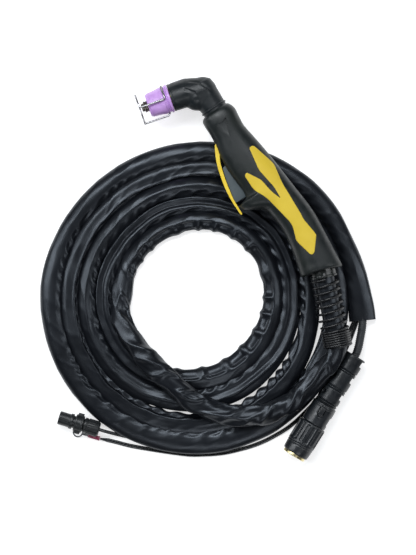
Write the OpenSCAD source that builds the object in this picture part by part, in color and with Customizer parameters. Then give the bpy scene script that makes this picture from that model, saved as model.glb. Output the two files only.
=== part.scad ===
// Hand plasma cutting torch with its sleeved lead, pilot wire and control plug.
// The origin is the point where the arc leaves the nozzle. +X runs along the handle
// towards the head, +Y is the trigger side and +Z is the upper side as the torch lies.

/* [Head] */
// Angle from the handle's axis to the nozzle's axis
head_angle = 76; // [60:1:90]
// Distance from the crossing of the two axes to the nozzle's front face
head_reach = 65; // [60:1:75]
// Radius of the head's barrel
barrel_r = 14.2; // [13.5:0.1:15]
// Radius of the neck that enters the handle
neck_r = 13.3; // [12:0.1:13.5]
// How far the shield cup stands out from the barrel
cup_length = 25; // [22:0.5:28]
// Radius of the shield cup's rear flange
cup_flange_r = 15; // [14.6:0.1:16]
// Radius of the thread that carries the shield cup
cup_thread_r = 10; // [9.5:0.1:10.5]
// Diameter of the stand-off guide's wire
guide_wire_d = 1.6; // [1.2:0.1:2]
// Radius at which the guide's legs stand
guide_leg_r = 16.6; // [16:0.1:18]
// How far the nozzle stands out of the shield cup
nozzle_stick_out = 7; // [5:0.5:9]

/* [Handle] */
// Distance from the crossing of the axes back to the handle's front
handle_front = 28.7; // [26:0.1:32]
// Wall of the handle shells
wall = 2.5; // [2:0.1:3]
// Depth of the soft inserts
insert_t = 1.2; // [0.8:0.1:1.6]
// How far the soft inserts stand proud of the shells
insert_proud = 0.3; // [0.1:0.1:0.6]
// Width of the slot that the trigger works in
slot_w = 14; // [12:0.5:16]
// Radius of the shell screws' shanks
screw_r = 1.5; // [1.2:0.1:1.8]
// Play round a screw or a fixed pin
fit_gap = 0.05; // [0.03:0.01:0.1]
// Gap between pieces that move past each other
run_gap = 0.3; // [0.2:0.05:0.6]

/* [Trigger] */
// Width of the trigger lever
lever_w = 12; // [9:0.5:12]
// Radius of the trigger's pivot pin
pin_r = 1.5; // [1.2:0.1:1.8]
// Running clearance of the shafts and the pivot
shaft_gap = 0.05; // [0.02:0.01:0.1]
// Radius of the switch's plunger
plunger_r = 2; // [1.5:0.1:2.5]
// Travel of the switch's plunger
plunger_travel = 3; // [2.5:0.1:3.2]

/* [Strain relief] */
// Outer diameter of the strain-relief spring
spring_od = 30; // [29:0.5:32]
// Diameter of the spring's wire
spring_wire_d = 2.3; // [1.8:0.1:2.6]
// Number of open turns
open_turns = 8; // [6:1:10]
// Pitch of the open turns
open_pitch = 7; // [5:0.5:8]
// Number of closed turns at the end
closed_turns = 7; // [4:1:9]

/* [Lead] */
// Width of the lead's protective sleeve as it lies
sleeve_w = 20.6; // [19:0.2:21]
// Height of the sleeve as it lies
sleeve_h = 13.2; // [12:0.2:14]
// Diameter of the bare lead
lead_d = 9; // [8:0.5:10]
// Outer radius of the coiled lead
coil_r = 158; // [156:1:159]
// Inner radius of the coiled lead
coil_hole_r = 77; // [70:1:85]
// Height of the coiled lead
coil_h = 15.4; // [13:0.2:15.6]
// Width of the flat twin pilot wire
pilot_w = 4.4; // [4:0.2:5]
// Diameter of the control cable
control_d = 3.6; // [3:0.2:4]

/* [Machine connector] */
// Radius of the coupling nut
nut_r = 15; // [14.5:0.1:16]
// Length of the coupling nut
nut_l = 36; // [30:1:38]
// Length of the connector's housing
housing_l = 30; // [26:1:32]
// Radius of the connector's housing
housing_r = 13.5; // [13:0.1:14]
// Length of the flexible boot
boot_l = 60; // [45:1:70]
// Radius of the flexible boot
boot_r = 12.5; // [11:0.1:12.8]
// Radius of the brass nose
nose_r = 12.5; // [11.5:0.1:13]
// Length of the brass nose
nose_l = 3; // [2.5:0.1:4]
// Travel of the latch button
latch_travel = 1.2; // [0.8:0.1:1.5]

/* [Control plug] */
// Radius of the plug's nose
plug_nose_r = 7.2; // [6.8:0.1:7.5]
// Length of the plug's nose
plug_nose_l = 11; // [9:0.5:13]
// Radius of the plug's back shell
back_shell_r = 8.5; // [8:0.1:8.8]
// Outer radius of the terminal's ring
ring_r = 5.6; // [5.2:0.1:6]
// Radius of the terminal's hole
ring_hole_r = 4.1; // [3.2:0.1:4.3]
// Thickness of the terminal's ring
ring_t = 0.8; // [0.6:0.1:1]

/* [Hidden] */
$fn = 64;
far = 60;

// The crossing of the handle's axis and the nozzle's axis, which the torch is laid out from
crossing = [-head_reach * cos(head_angle), -head_reach * sin(head_angle), 0];
floor_z = -36;

module at_crossing() translate(crossing) children();
// Turns a child's Z to a direction in the plane, turn degrees round from +X
module along(turn) rotate([0, 90, turn]) children();
module at_head(s) at_crossing() rotate([0, 0, head_angle]) translate([s, 0, 0])
    rotate([0, 90, 0]) children();
module ring(r, hole_r, h) difference() {
    cylinder(r = r, h = h);
    translate([0, 0, -1]) cylinder(r = hole_r, h = h + 2);
}
module bar_along_x(x0, x1, r) translate([x0, 0, 0]) rotate([0, 90, 0]) cylinder(r = r, h = x1 - x0);

// Closed sweep of an oval section, half width a and half height b, along the points p
function unit(v) = v / norm(v);
function heading(p, i) = unit(p[min(i + 1, len(p) - 1)] - p[max(i - 1, 0)]);
function side(t) = unit(cross(t, [0, 0, 1]));
function sweep_points(p, a, b, n) = [for (i = [0:len(p) - 1]) let (t = heading(p, i), s = side(t),
    u = cross(s, t)) for (k = [0:n - 1]) let (q = 360 * (k + 0.5) / n)
    p[i] + s * a * cos(q) + u * b * sin(q)];
function tube_faces(rings, n) = concat(
    [for (i = [0:rings - 2]) for (k = [0:n - 1]) let (m = (k + 1) % n)
        [i * n + k, i * n + m, (i + 1) * n + m, (i + 1) * n + k]],
    [[for (k = [n - 1:-1:0]) k]], [[for (k = [0:n - 1]) (rings - 1) * n + k]]);
module swept(p, a, b, n) polyhedron(sweep_points(p, a, b, n), tube_faces(len(p), n), convexity = 6);
function turned_in(faces) = [for (f = faces) [for (i = [len(f) - 1:-1:0]) f[i]]];
// Closed sweep of a round wire of radius r, its section carried along without twisting
function carried(v, t) = unit(v - t * (v * t));
function wire_sides_at(p, v) = [for (i = 0, c = carried(v, heading(p, 0)); i < len(p);
    i = i + 1, c = i < len(p) ? carried(c, heading(p, i)) : c) c];
module wire(p, r, start, n) {
    sides = wire_sides_at(p, start);
    polyhedron([for (i = [0:len(p) - 1]) let (u = cross(heading(p, i), sides[i])) for (k = [0:n - 1])
        p[i] + r * (sides[i] * cos(360 * k / n) + u * sin(360 * k / n))],
        turned_in(tube_faces(len(p), n)), convexity = 10);
}

// ---- Head ----
barrel_end = 33;
body_r = 7;
tube_r = 4;
neck_end = handle_front + 11;
outer_corner = [-4, 0, 0];
outer_corner_r = 14.8;
inner_corner = [-5.5, 8.5, 0];
inner_corner_r = 14.6;

module head_outside() {
    bar_along_x(-neck_end, -3, neck_r);
    hull() {
        translate(outer_corner) sphere(r = outer_corner_r, $fn = 32);
        translate(inner_corner) sphere(r = inner_corner_r, $fn = 32);
    }
    rotate([0, 0, head_angle]) bar_along_x(0, barrel_end, barrel_r);
}
module head_moulding() color("#20262a") at_crossing() difference() {
    head_outside();
    bar_along_x(-neck_end - 1, 0, tube_r + fit_gap);
    rotate([0, 0, head_angle]) bar_along_x(-8, barrel_end + 1, body_r + fit_gap);
}

thread_end = barrel_end + 8.3;
seat_end = barrel_end + 16;
electrode_r = 4.7;
o_ring_r = 1;
o_ring_s = barrel_end + 6;
module torch_body() color("#b8964a") difference() {
    union() {
        at_head(-7.5) cylinder(r = body_r, h = barrel_end + 7.5);
        at_head(barrel_end) cylinder(r = cup_thread_r, h = thread_end - barrel_end);
    }
    at_head(barrel_end + 2) cylinder(r = electrode_r + fit_gap, h = far);
    at_head(o_ring_s - o_ring_r) ring(cup_thread_r + 1, cup_thread_r - 2 * o_ring_r, 2 * o_ring_r);
    at_crossing() bar_along_x(-20, -3, tube_r);
}
module o_ring() color("#141414") at_head(o_ring_s) rotate_extrude()
    translate([cup_thread_r - o_ring_r - 0.15, 0]) circle(r = o_ring_r - 0.15);
fitting_at = -(handle_front + 20);
module gas_tube() color("#b8964a") at_crossing() difference() {
    bar_along_x(fitting_at, -3, tube_r);
    bar_along_x(fitting_at - 1, -4, tube_r - 1);
}
module hose_fitting() color("#b8964a") at_crossing() difference() {
    union() {
        translate([fitting_at - 4, 0, 0]) rotate([0, 90, 0]) cylinder(r = 6.4, h = 10, $fn = 6);
        bar_along_x(fitting_at - 6, fitting_at + 8, 5.2);
    }
    bar_along_x(fitting_at, fitting_at + 9, tube_r + fit_gap);
}
module electrode() color("#c08050") {
    at_head(barrel_end + 2) cylinder(r = electrode_r, h = 16);
    at_head(barrel_end + 18) cylinder(r1 = electrode_r, r2 = 3, h = 7);
}
module swirl_ring() color("#e8e2d2") at_head(thread_end + fit_gap) difference() {
    ring(body_r + 1, electrode_r + 0.3, seat_end - thread_end - 2 * fit_gap);
    for (k = [0:5]) rotate([0, 0, k * 60]) translate([0, 0, 4]) rotate([0, 90, 0])
        cylinder(r = 0.6, h = 20);
}
nozzle_r = 8;
nozzle_tip_r = 4.3;
nozzle_waist_r = 6;
nozzle_front = head_reach - seat_end;
cup_front = barrel_end + cup_length - seat_end;
module nozzle() color("#b5714a") at_head(seat_end) rotate_extrude() polygon([
    [electrode_r + 1, 0], [nozzle_r, 0], [nozzle_r, 1.5], [nozzle_waist_r, cup_front - 5],
    [nozzle_waist_r, nozzle_front - 3], [nozzle_tip_r, nozzle_front - 3], [nozzle_tip_r, nozzle_front - 0.6],
    [nozzle_tip_r - 0.8, nozzle_front], [0.6, nozzle_front], [0.6, nozzle_front - 4],
    [electrode_r, nozzle_front - 6]]);

// The cup's outline, from its rear face at 0
groove_s = 5.6;
groove_r = 13.55;
cup_r = 14.4;
cup_tip_r = 12;
groove_half = guide_wire_d / 2 + 0.5;
cup_inner_r = nozzle_r + 0.9;
cup_l = cup_length - run_gap;
module shield_cup() color("#d9a6f0") at_head(barrel_end + run_gap) rotate_extrude() polygon([
    [cup_thread_r + shaft_gap, 0], [cup_flange_r - 0.3, 0], [cup_flange_r, 0.3], [cup_flange_r, 2.6],
    [cup_r, 3], [cup_r, groove_s - groove_half], [groove_r, groove_s - groove_half],
    [groove_r, groove_s + groove_half], [cup_r, groove_s + groove_half], [cup_r - 0.6, 12],
    [cup_tip_r + 0.6, cup_l - 2], [cup_tip_r - 1, cup_l], [nozzle_waist_r + 0.8, cup_l],
    [nozzle_waist_r + 0.8, cup_l - 4], [cup_inner_r, cup_l - 7],
    [cup_inner_r, thread_end - barrel_end], [cup_thread_r + shaft_gap, thread_end - barrel_end]]);

wire_r = guide_wire_d / 2;
guide_ring_r = groove_r + wire_r + 0.1;
guide_foot_s = cup_length + 9 - groove_s - run_gap;
bend_r = 1.8;
function round_the_axis(r, turn, z) = [r * cos(turn), r * sin(turn), z];
function guide_arc(r, from, to, z) = [for (q = [0:8]) round_the_axis(r, from + (to - from) * q / 8, z)];
// One leg from its ring end out to its foot: a short way out, then along the nozzle's axis
function guide_leg(turn) = [round_the_axis(guide_leg_r, turn, bend_r), round_the_axis(guide_leg_r, turn, bend_r + 1),
    round_the_axis(guide_leg_r, turn, guide_foot_s - 1), round_the_axis(guide_leg_r, turn, guide_foot_s - 0.3)];
function backwards(list) = [for (i = [len(list) - 1:-1:0]) list[i]];
guide_route = concat(guide_arc(guide_leg_r, -120, -176, guide_foot_s), backwards(guide_leg(180)),
    [for (q = [0:24]) round_the_axis(guide_ring_r, -176 + q * 262 / 24, 0)], guide_leg(90),
    guide_arc(guide_leg_r, 86, -15, guide_foot_s));
module standoff_guide() color("#c9ced3") at_head(barrel_end + run_gap + groove_s)
    wire(guide_route, wire_r, [0, 0, 1], 8);

// ---- Handle ----
// Each section of the handle: distance back, centre, tilt, half height and half thickness
handle_sections = [
    [handle_front, 0, 0, 14.3, 14.3], [31.5, 0.6, 0, 17.2, 16.5], [38, 0.1, 0, 18.5, 17.6],
    [48, 0.7, 0, 17.9, 17.4], [58, 1.6, 0, 18.1, 17.2], [72, 2.3, 0, 20.8, 17.4],
    [86, 2, 0, 22.5, 17.8], [104, 0.9, 0, 23.4, 18.2], [121, 1, 0, 25, 18.5],
    [126, 4.8, 0, 29.3, 18.5], [133, 3.4, 0, 28.4, 18.5], [143, -5.7, 0, 20.2, 18],
    [154, -8, 0, 19, 17.6], [171, -9.1, 0, 18.9, 17.6], [188, -7.6, 3, 19.4, 18],
    [204, -5.2, 8, 20.2, 18.8], [218, -2.8, 14, 21.4, 19.3], [228.6, -1.2, 17.5, 22.3, 19.5],
    [231, -0.5, 17.5, 20.6, 18]];
section_power = 2.4;
section_points = 16;
function bulge(c) = sign(c) * pow(abs(c), 2 / section_power);
// One section's corner at angle q, drawn in by d
function section_point(s, q, d) = let (y = (s[3] - d) * bulge(sin(q)), z = (s[4] - d) * bulge(cos(q)))
    [-s[0] - y * -sin(s[2]), s[1] + y * cos(s[2]), z];
function loft_points(list, d) = [for (s = list) for (k = [0:section_points - 1])
    section_point(s, 360 * k / section_points, d)];
module loft(first, last, d) {
    list = [for (i = [first:last]) handle_sections[i]];
    polyhedron(loft_points(list, d), turned_in(tube_faces(len(list), section_points)), convexity = 6);
}
last_section = len(handle_sections) - 1;

pivot = [-61.5, 15.5];
screw_places = [[-66, -13.5], [-70, 9.5], [-140, -20.5], [-217, -15], [-214, 10]];
boss_r = 3.4;
hub_r = 3.6;
boss_depth = 10.5;
head_sink = 9.5;
screw_head_r = 2.8;
rear_centre = [-231, -1.8, 0];
rear_turn = 158.4;
rear_dip = 3;
bush_r = 13.6;
// Turns a child's Z to the way the lead leaves the handle
module at_rear() at_crossing() translate(rear_centre) rotate([0, 90 + rear_dip, rear_turn]) children();

slot_front = -56;
slot_back = -141;
slot_floor = 17;
// The room the trigger works in, cut through the trigger side
module trigger_slot() translate([slot_back, slot_floor, -slot_w / 2])
    cube([slot_front - slot_back, far, slot_w]);

insert_outline = [[-80.8, -7.4], [-80.7, -11.5], [-82.5, -13.1], [-105.8, -19.5], [-110, -20],
    [-129.5, -16.3], [-168, -14.8], [-173.4, -14], [-193, -16.3], [-195, -16], [-209, -4.4],
    [-209.4, -0.8], [-207.3, 0.4], [-188.6, 4.6], [-171.7, -1.4], [-134, 5.8], [-122, 11.7],
    [-117.4, 12.6], [-102.6, 12.4], [-100.7, 9], [-116, 0.1], [-131, -1.7], [-143, -6],
    [-129.4, -6.8], [-106, -3.2]];
module insert_prism() linear_extrude(far) polygon(insert_outline);
// The part of the shell's skin that an insert fills
module insert_body(proud) intersection() {
    insert_prism();
    difference() {
        loft(5, last_section - 1, -proud);
        loft(4, last_section, insert_t);
    }
}
switch_size = [20, 9, 10];
switch_at = [-106, 1, -5];
plunger_x = -96;
rib_t = 3;

// Screw bosses, the pivot's boss and the ribs that hold the switch, out to the shell's wall
module supports() {
    for (p = screw_places) translate([p[0], p[1], 0]) cylinder(r = boss_r, h = far);
    translate([pivot[0], pivot[1], slot_w / 2]) cylinder(r = boss_r, h = far);
    for (x = [switch_at[0] + 2, switch_at[0] + switch_size[0] - 2 - rib_t])
        translate([x, switch_at[1] + 1, switch_size[2] / 2 + fit_gap]) cube([rib_t, 7, far]);
}
// One half of the handle, on the +Z side
module shell_half() difference() {
    loft(0, last_section, 0);
    difference() {
        loft(2, last_section - 1, wall);
        supports();
    }
    translate([-far * 5, -far, -far]) cube([far * 5, far * 2, far + fit_gap]);
    bar_along_x(-neck_end, 0, neck_r + fit_gap);
    trigger_slot();
    translate([pivot[0], pivot[1], -slot_w / 2]) cylinder(r = hub_r + 1, h = slot_w);
    translate([pivot[0], pivot[1], 0]) cylinder(r = pin_r, h = slot_w / 2 + 3.5);
    for (p = screw_places) translate([p[0], p[1], -1]) cylinder(r = screw_r + fit_gap, h = boss_depth);
    translate(rear_centre) rotate([0, 90 + rear_dip, rear_turn]) translate([0, 0, -9])
        cylinder(r = bush_r + fit_gap, h = 30);
    insert_body(2);
}
module handle_shell_left() color("#2a3134") at_crossing() shell_half();
module handle_shell_right() color("#2a3134") at_crossing() difference() {
    mirror([0, 0, 1]) shell_half();
    for (p = screw_places) translate([p[0], p[1], -far - head_sink]) cylinder(r = screw_head_r + 0.2, h = far);
}
module insert_left() color("#d8c040") at_crossing() insert_body(insert_proud);
module insert_right() color("#d8c040") at_crossing() mirror([0, 0, 1]) insert_body(insert_proud);
module shell_screws() color("#6b7075") at_crossing() for (p = screw_places) translate([p[0], p[1], 0]) {
    translate([0, 0, -head_sink]) cylinder(r = screw_r, h = head_sink + 8);
    difference() {
        translate([0, 0, -head_sink - 1.8]) cylinder(r = screw_head_r, h = 1.8);
        translate([-2, -0.4, -head_sink - 3]) cube([4, 0.8, 2]);
    }
}

// ---- Trigger ----
lever_outline = [[-57.6, 17], [-58.2, 20.4], [-73.7, 28.6], [-84.3, 32.2], [-102.7, 36.5], [-118.6, 37.9],
    [-134, 37.4], [-134.8, 36.5], [-133.8, 35.6], [-127.7, 35.5], [-116.6, 35], [-94.5, 30.4], [-83, 26.8],
    [-74, 24.2], [-66, 18.4], [-64.4, 16]];
blade_outline = [[-83, 26.8], [-94.5, 30.4], [-116.6, 35], [-121, 35.2], [-121.5, 20], [-99, 18.5],
    [-98.5, 13.8], [-93.5, 13.8], [-93, 18], [-82, 18.5]];
hub_top = 1;
spring_coil_r = 2.7;
spring_coil_wire = 0.5;
spring_coils = 5;
blade_w = 10;
module lever_plate() translate([0, 0, -lever_w / 2]) linear_extrude(lever_w) polygon(lever_outline);
module trigger_lever() color("#e6c93c") at_crossing() difference() {
    union() {
        difference() {
            lever_plate();
            translate([pivot[0], pivot[1], hub_top]) cylinder(r = 4.4, h = far);
        }
        translate([pivot[0], pivot[1], -lever_w / 2]) cylinder(r = hub_r, h = lever_w / 2 + hub_top);
    }
    translate([pivot[0], pivot[1], -far]) cylinder(r = pin_r + shaft_gap, h = far * 2);
}
module trigger_blade() color("#4c5c62") at_crossing() translate([0, 0, -blade_w / 2])
    linear_extrude(blade_w) polygon(blade_outline);
module trigger_spring() color("#a8adb2") at_crossing() translate([pivot[0], pivot[1], hub_top + 0.6]) {
    for (k = [0:spring_coils - 1]) translate([0, 0, k * 0.95]) rotate_extrude()
        translate([spring_coil_r, 0]) circle(r = spring_coil_wire, $fn = 16);
    translate([0, spring_coil_r, 1.9]) rotate([0, -90, -28]) cylinder(r = spring_coil_wire, h = 4.4, $fn = 16);
}
module trigger_pin() color("#a8adb2") at_crossing() translate([pivot[0], pivot[1], -slot_w / 2 - 3])
    cylinder(r = pin_r, h = slot_w + 6);
plunger_top = 13.4;
module switch_body() color("#1d1d1f") at_crossing() difference() {
    translate(switch_at) cube(switch_size);
    translate([plunger_x, switch_at[1] + 1, 0]) rotate([-90, 0, 0]) cylinder(r = plunger_r + shaft_gap, h = far);
}
module switch_plunger() color("#a03028") at_crossing() translate([plunger_x, switch_at[1] + 1.3 + plunger_travel, 0])
    rotate([-90, 0, 0]) cylinder(r = plunger_r, h = plunger_top - switch_at[1] - 1.3 - plunger_travel);

// ---- Hose, bush and strain relief ----
hose_y = -5;
hose_r = 4;
module torch_hose() color("#26262a") at_crossing() translate([0, hose_y, 0]) bar_along_x(-220.5, fitting_at - 6.3, hose_r);
bush_out = 6;
sleeve_fit_r = 11.4;
module rear_bush() color("#15181a") at_rear() difference() {
    union() {
        translate([0, 0, -8.5]) cylinder(r = bush_r, h = 8.5 + bush_out - 2);
        translate([0, 0, bush_out - 2]) cylinder(r = bush_r + 0.6, h = 2);
    }
    translate([0, 0, -4]) cylinder(r = sleeve_fit_r + fit_gap, h = 20);
    translate([-far, 0, 2.2]) rotate([0, 90, 0]) cylinder(r = 1.3 + fit_gap, h = far);
}
module bush_screw() color("#c9ced3") at_rear() translate([-bush_r - 0.4, 0, 2.2]) rotate([0, 90, 0]) {
    cylinder(r = 1.3, h = bush_r - sleeve_fit_r);
}
helix_r = (spring_od - spring_wire_d) / 2;
closed_pitch = spring_wire_d + 0.1;
helix_steps = 14;
wire_sides = 6;
function helix_height(t) = t < open_turns ? t * open_pitch
    : open_turns * open_pitch + (t - open_turns) * closed_pitch;
spring_l = helix_height(open_turns + closed_turns) + spring_wire_d;
function helix_point(t, r, k) = let (q = 360 * k / wire_sides, h = helix_height(t))
    [(r + spring_wire_d / 2 * cos(q)) * cos(360 * t), (r + spring_wire_d / 2 * cos(q)) * sin(360 * t),
        h + spring_wire_d / 2 * sin(q)];
module strain_relief_spring() color("#1c1e20") at_rear() translate([0, 0, bush_out + spring_wire_d / 2]) {
    rings = (open_turns + closed_turns) * helix_steps;
    polyhedron([for (i = [0:rings]) for (k = [0:wire_sides - 1]) helix_point(i / helix_steps, helix_r, k)],
        turned_in(tube_faces(rings + 1, wire_sides)), convexity = 10);
}
module sleeve_in_spring() color("#1a1c20") at_rear() translate([0, 0, -4])
    cylinder(r = sleeve_fit_r, h = 4 + bush_out + spring_l);

// ---- Lead ----
coil_centre = [-184, 123];
module lead_coil() color("#22242a") at_crossing() translate([coil_centre[0], coil_centre[1], floor_z])
    rotate_extrude($fn = 96) polygon([[coil_hole_r + 2, 0], [coil_r - 3, 0], [coil_r, 4], [coil_r, coil_h - 4],
        [coil_r - 3, coil_h], [coil_hole_r + 3, coil_h], [coil_hole_r, coil_h - 4], [coil_hole_r, 4]]);
// From the inside of the coil, over the turns at the bottom and up to the strain relief
tail_route = [[-151, 201, -27], [-176, 206, -22], [-204, 203, -17], [-234, 197, -14], [-265, 189, -13.5],
    [-292, 174, -13.5], [-312, 153, -13.5], [-324, 127, -13.5], [-327.5, 99, -13.4], [-323, 70, -12],
    [-314.5, 44, -7.5], [-306.3, 28, -4.2]];
module lead_tail() color("#22242a") at_crossing() swept(tail_route, sleeve_w / 2, sleeve_h / 2, 12);
// The outermost turn leaves the coil and runs straight to the sleeve's open end
outlet_route = [[-131, -28, -28], [-159, -37, -28], [-188, -40, -28], [-214, -38, -28], [-242, -33, -28],
    [-271, -22, -28], [-297.5, -9.5, -28]];
module lead_outlet() color("#22242a") at_crossing() swept(outlet_route, sleeve_w / 2, sleeve_h / 2, 12);
connector_h = nut_r;
connector_z = floor_z + connector_h;
bare_route = [[-297.5, -9.5, -28], [-305, -3.5, -27], [-311.5, 2.5, -25], [-317.5, 8.5, -22.5],
    [-321.5, 13.2, connector_z], [-324, 17.5, connector_z], [-345.5, 63.6, connector_z]];
module bare_lead() color("#2a2c2e") at_crossing() swept(bare_route, lead_d / 2, lead_d / 2, 12);
pilot_z = floor_z + pilot_w / 4;
pilot_route = [[-296, -3, -29], [-302, 5, -32], [-308, 13, pilot_z], [-318, 29, pilot_z], [-328, 46, pilot_z],
    [-336.5, 63.5, pilot_z], [-342.5, 81, pilot_z], [-346.5, 98, pilot_z], [-348.8, 111, pilot_z],
    [-349.5, 125, pilot_z], [-348, 145, pilot_z], [-344.8, 161, pilot_z], [-340, 176, pilot_z],
    [-335.5, 188, pilot_z], [-330, 199, pilot_z], [-323.5, 210, pilot_z], [-316, 221.5, pilot_z],
    [-303, 237, pilot_z], [-289.5, 252, pilot_z], [-275, 267.5, pilot_z], [-263, 278.5, pilot_z],
    [-255.5, 285.5, floor_z + 1.8], [-250.2, 291, floor_z + 2.4]];
module pilot_wire() color("#181a1c") at_crossing() swept(pilot_route, pilot_w / 2, pilot_w / 4, 8);
control_z = floor_z + control_d / 2;
plug_h = 9.5;
control_route = [[-290.5, -7, -31], [-296, 3.5, -33.8], [-303, 14, control_z], [-313, 31, control_z],
    [-322, 48, control_z], [-330, 65.5, control_z], [-335.8, 83, control_z], [-339, 98, control_z],
    [-340.6, 111, control_z], [-341, 125.5, control_z], [-339.5, 144, control_z], [-336.5, 158.5, control_z],
    [-331.5, 173.5, control_z], [-324, 193, control_z], [-314, 210, control_z], [-303, 225.5, control_z],
    [-290, 240.5, control_z], [-277, 254, control_z], [-268, 262.5, control_z], [-260, 270, -33.4],
    [-253, 276.2, -30.4], [-247, 281.4, -27.4], [-241.5, 286, floor_z + plug_h]];
module control_cable() color("#181a1c") at_crossing() swept(control_route, control_d / 2, control_d / 2, 8);

// ---- Machine connector ----
connector_at = [-324, 17.5];
connector_turn = 115;
module at_connector(s) at_crossing() translate([connector_at[0], connector_at[1], connector_z])
    along(connector_turn) translate([0, 0, s]) children();
boot_pitch = 10;
module connector_boot() color("#17191b") at_connector(0) difference() {
    union() {
        cylinder(r1 = boot_r - 1.5, r2 = boot_r, h = 4);
        translate([0, 0, 4]) cylinder(r = boot_r, h = boot_l - 4);
    }
    translate([0, 0, -1]) cylinder(r = lead_d / 2 + fit_gap, h = boot_l - 3);
    for (k = [1:5]) translate([0, 0, k * boot_pitch - 1]) rotate([0, 0, k % 2 == 0 ? 0 : 90])
        for (m = [-1, 1]) translate([m * (boot_r - 1.6) - 2.5, -7, 0]) cube([5, 14, 3.4]);
}
housing_start = boot_l;
nut_start = housing_start + housing_l + run_gap;
latch_s = housing_start + 8;
latch_r = 3.2;
latch_stand = 1.6;
module connector_housing() color("#1b1e21") at_connector(housing_start) difference() {
    union() {
        cylinder(r = housing_r, h = housing_l - 6);
        translate([0, 0, housing_l - 6]) cylinder(r = nose_r - 1.6, h = 6);
    }
    translate([0, 0, 3]) cylinder(r = 8, h = housing_l);
    translate([-housing_r - 1, 0, latch_s - housing_start]) rotate([0, 90, 0]) cylinder(r = latch_r + shaft_gap, h = 5.5);
}
module latch_button() color("#202428") at_connector(latch_s) translate([-housing_r - latch_stand, 0, 0]) rotate([0, 90, 0])
    cylinder(r = latch_r, h = latch_stand + 2);
core_r = 7.9;
spigot_r = nose_r - 1.6;
module coupling_nut() color("#1b1e21") at_connector(nut_start - 5.7) difference() {
    cylinder(r = nut_r, h = nut_l);
    translate([0, 0, -1]) cylinder(r = spigot_r + shaft_gap, h = nut_l + 2);
    for (k = [0:17]) rotate([0, 0, k * 20]) translate([nut_r + 0.7, 0, 8]) cylinder(r = 1.4, h = 17, $fn = 16);
}
nut_end = nut_start - 5.7 + nut_l;
module connector_nose() color("#d9d2a8") at_connector(nut_end + run_gap) ring(nose_r, spigot_r - 2, nose_l);
module connector_insulator() color("#2c2c2e") at_connector(housing_start + 3) difference() {
    union() {
        cylinder(r = core_r, h = housing_l - 3);
        translate([0, 0, housing_l - 3]) cylinder(r = spigot_r, h = nut_end - housing_start - housing_l + run_gap);
        translate([0, 0, nut_end + run_gap - housing_start - 3]) cylinder(r = spigot_r - 2.05, h = nose_l - 1);
    }
    translate([0, 0, -1]) cylinder(r = 3.5 + fit_gap, h = far * 2);
}
module centre_contact() color("#c9b070") at_connector(housing_start + 3) ring(3.5, 2, nut_end + run_gap - housing_start - 2);

// ---- Pilot terminal and control plug ----
terminal_at = [-231.5, 307];
terminal_turn = 40.5;
barrel_l = 13;
module at_terminal(z) at_crossing() translate([terminal_at[0], terminal_at[1], floor_z + z]) rotate([0, 0, terminal_turn])
    children();
module terminal_ring() color("#c8ccd0") at_terminal(0) difference() {
    union() {
        cylinder(r = ring_r, h = ring_t);
        translate([-12, -1.6, 0]) cube([8, 3.2, ring_t]);
    }
    translate([0, 0, -1]) cylinder(r = ring_hole_r, h = 3);
}
module terminal_barrel() color("#9c2a48") at_terminal(2.4) translate([-11.3 - barrel_l, 0, 0]) rotate([0, 90, 0])
    difference() {
        cylinder(r = 2.4, h = barrel_l);
        translate([1.4, -1.7, barrel_l - 1]) cube([1.2, 3.4, 2]);
    }
plug_at = [-241.5, 286];
plug_turn = 40;
plug_l = 44.5;
lock_r = 9.1;
module at_plug(s) at_crossing() translate([plug_at[0], plug_at[1], floor_z + plug_h]) along(plug_turn)
    translate([0, 0, s]) children();
back_l = 17;
lock_start = 18;
lock_l = 9;
module plug_back_shell() color("#1a1c1e") at_plug(0) difference() {
    cylinder(r = back_shell_r, h = back_l);
    for (k = [0:11]) rotate([0, 0, k * 30 + 15]) translate([back_shell_r + 0.6, 0, -1]) cylinder(r = 1.2, h = 13, $fn = 16);
}
flange_s = 29;
plug_core_r = 6.6;
module plug_body() color("#17191b") at_plug(back_l) difference() {
    union() {
        cylinder(r = plug_core_r, h = flange_s - back_l);
        translate([0, 0, flange_s - back_l]) cylinder(r = 8.2, h = 3.5);
        cylinder(r = plug_nose_r, h = 0.6);
        translate([0, 0, flange_s - back_l]) cylinder(r = plug_nose_r, h = plug_l - flange_s);
    }
    translate([0, 0, plug_l - back_l - 9]) ring(plug_nose_r - 1.2, 4, 20);
    for (k = [0:1]) rotate([0, 0, k * 180]) translate([2, 0, plug_l - back_l - 8]) cylinder(r = 0.8, h = 20);
}
module plug_lock_ring() color("#1d2022") at_plug(lock_start) difference() {
    union() {
        cylinder(r = lock_r, h = lock_l);
        for (m = [-1, 1]) translate([-3.5, m * 9.3 - 1.9, 1]) cube([7, 3.8, 6.5]);
    }
    translate([0, 0, -1]) cylinder(r = plug_core_r + shaft_gap, h = far);
}
module plug_contacts() color("#c9b070") at_plug(plug_l - 8) for (k = [0:1]) rotate([0, 0, k * 180])
    translate([2, 0, 0]) cylinder(r = 0.75, h = 6.5);

head_moulding();
torch_body();
gas_tube();
hose_fitting();
o_ring();
electrode();
swirl_ring();
nozzle();
shield_cup();
standoff_guide();
handle_shell_left();
handle_shell_right();
insert_left();
insert_right();
shell_screws();
trigger_lever();
trigger_blade();
trigger_spring();
trigger_pin();
switch_body();
switch_plunger();
torch_hose();
rear_bush();
bush_screw();
strain_relief_spring();
sleeve_in_spring();
lead_coil();
lead_tail();
lead_outlet();
bare_lead();
connector_boot();
connector_housing();
latch_button();
coupling_nut();
connector_insulator();
connector_nose();
centre_contact();
pilot_wire();
terminal_ring();
terminal_barrel();
control_cable();
plug_back_shell();
plug_body();
plug_lock_ring();
plug_contacts();
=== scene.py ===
"""Looks of a hand plasma cutting torch lying on its coiled lead.

Sizes are in millimetres from the crossing of the handle's axis and the nozzle's axis, the
point that the handle and the head are laid out from; at() turns them into the row's metres.
"""

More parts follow.
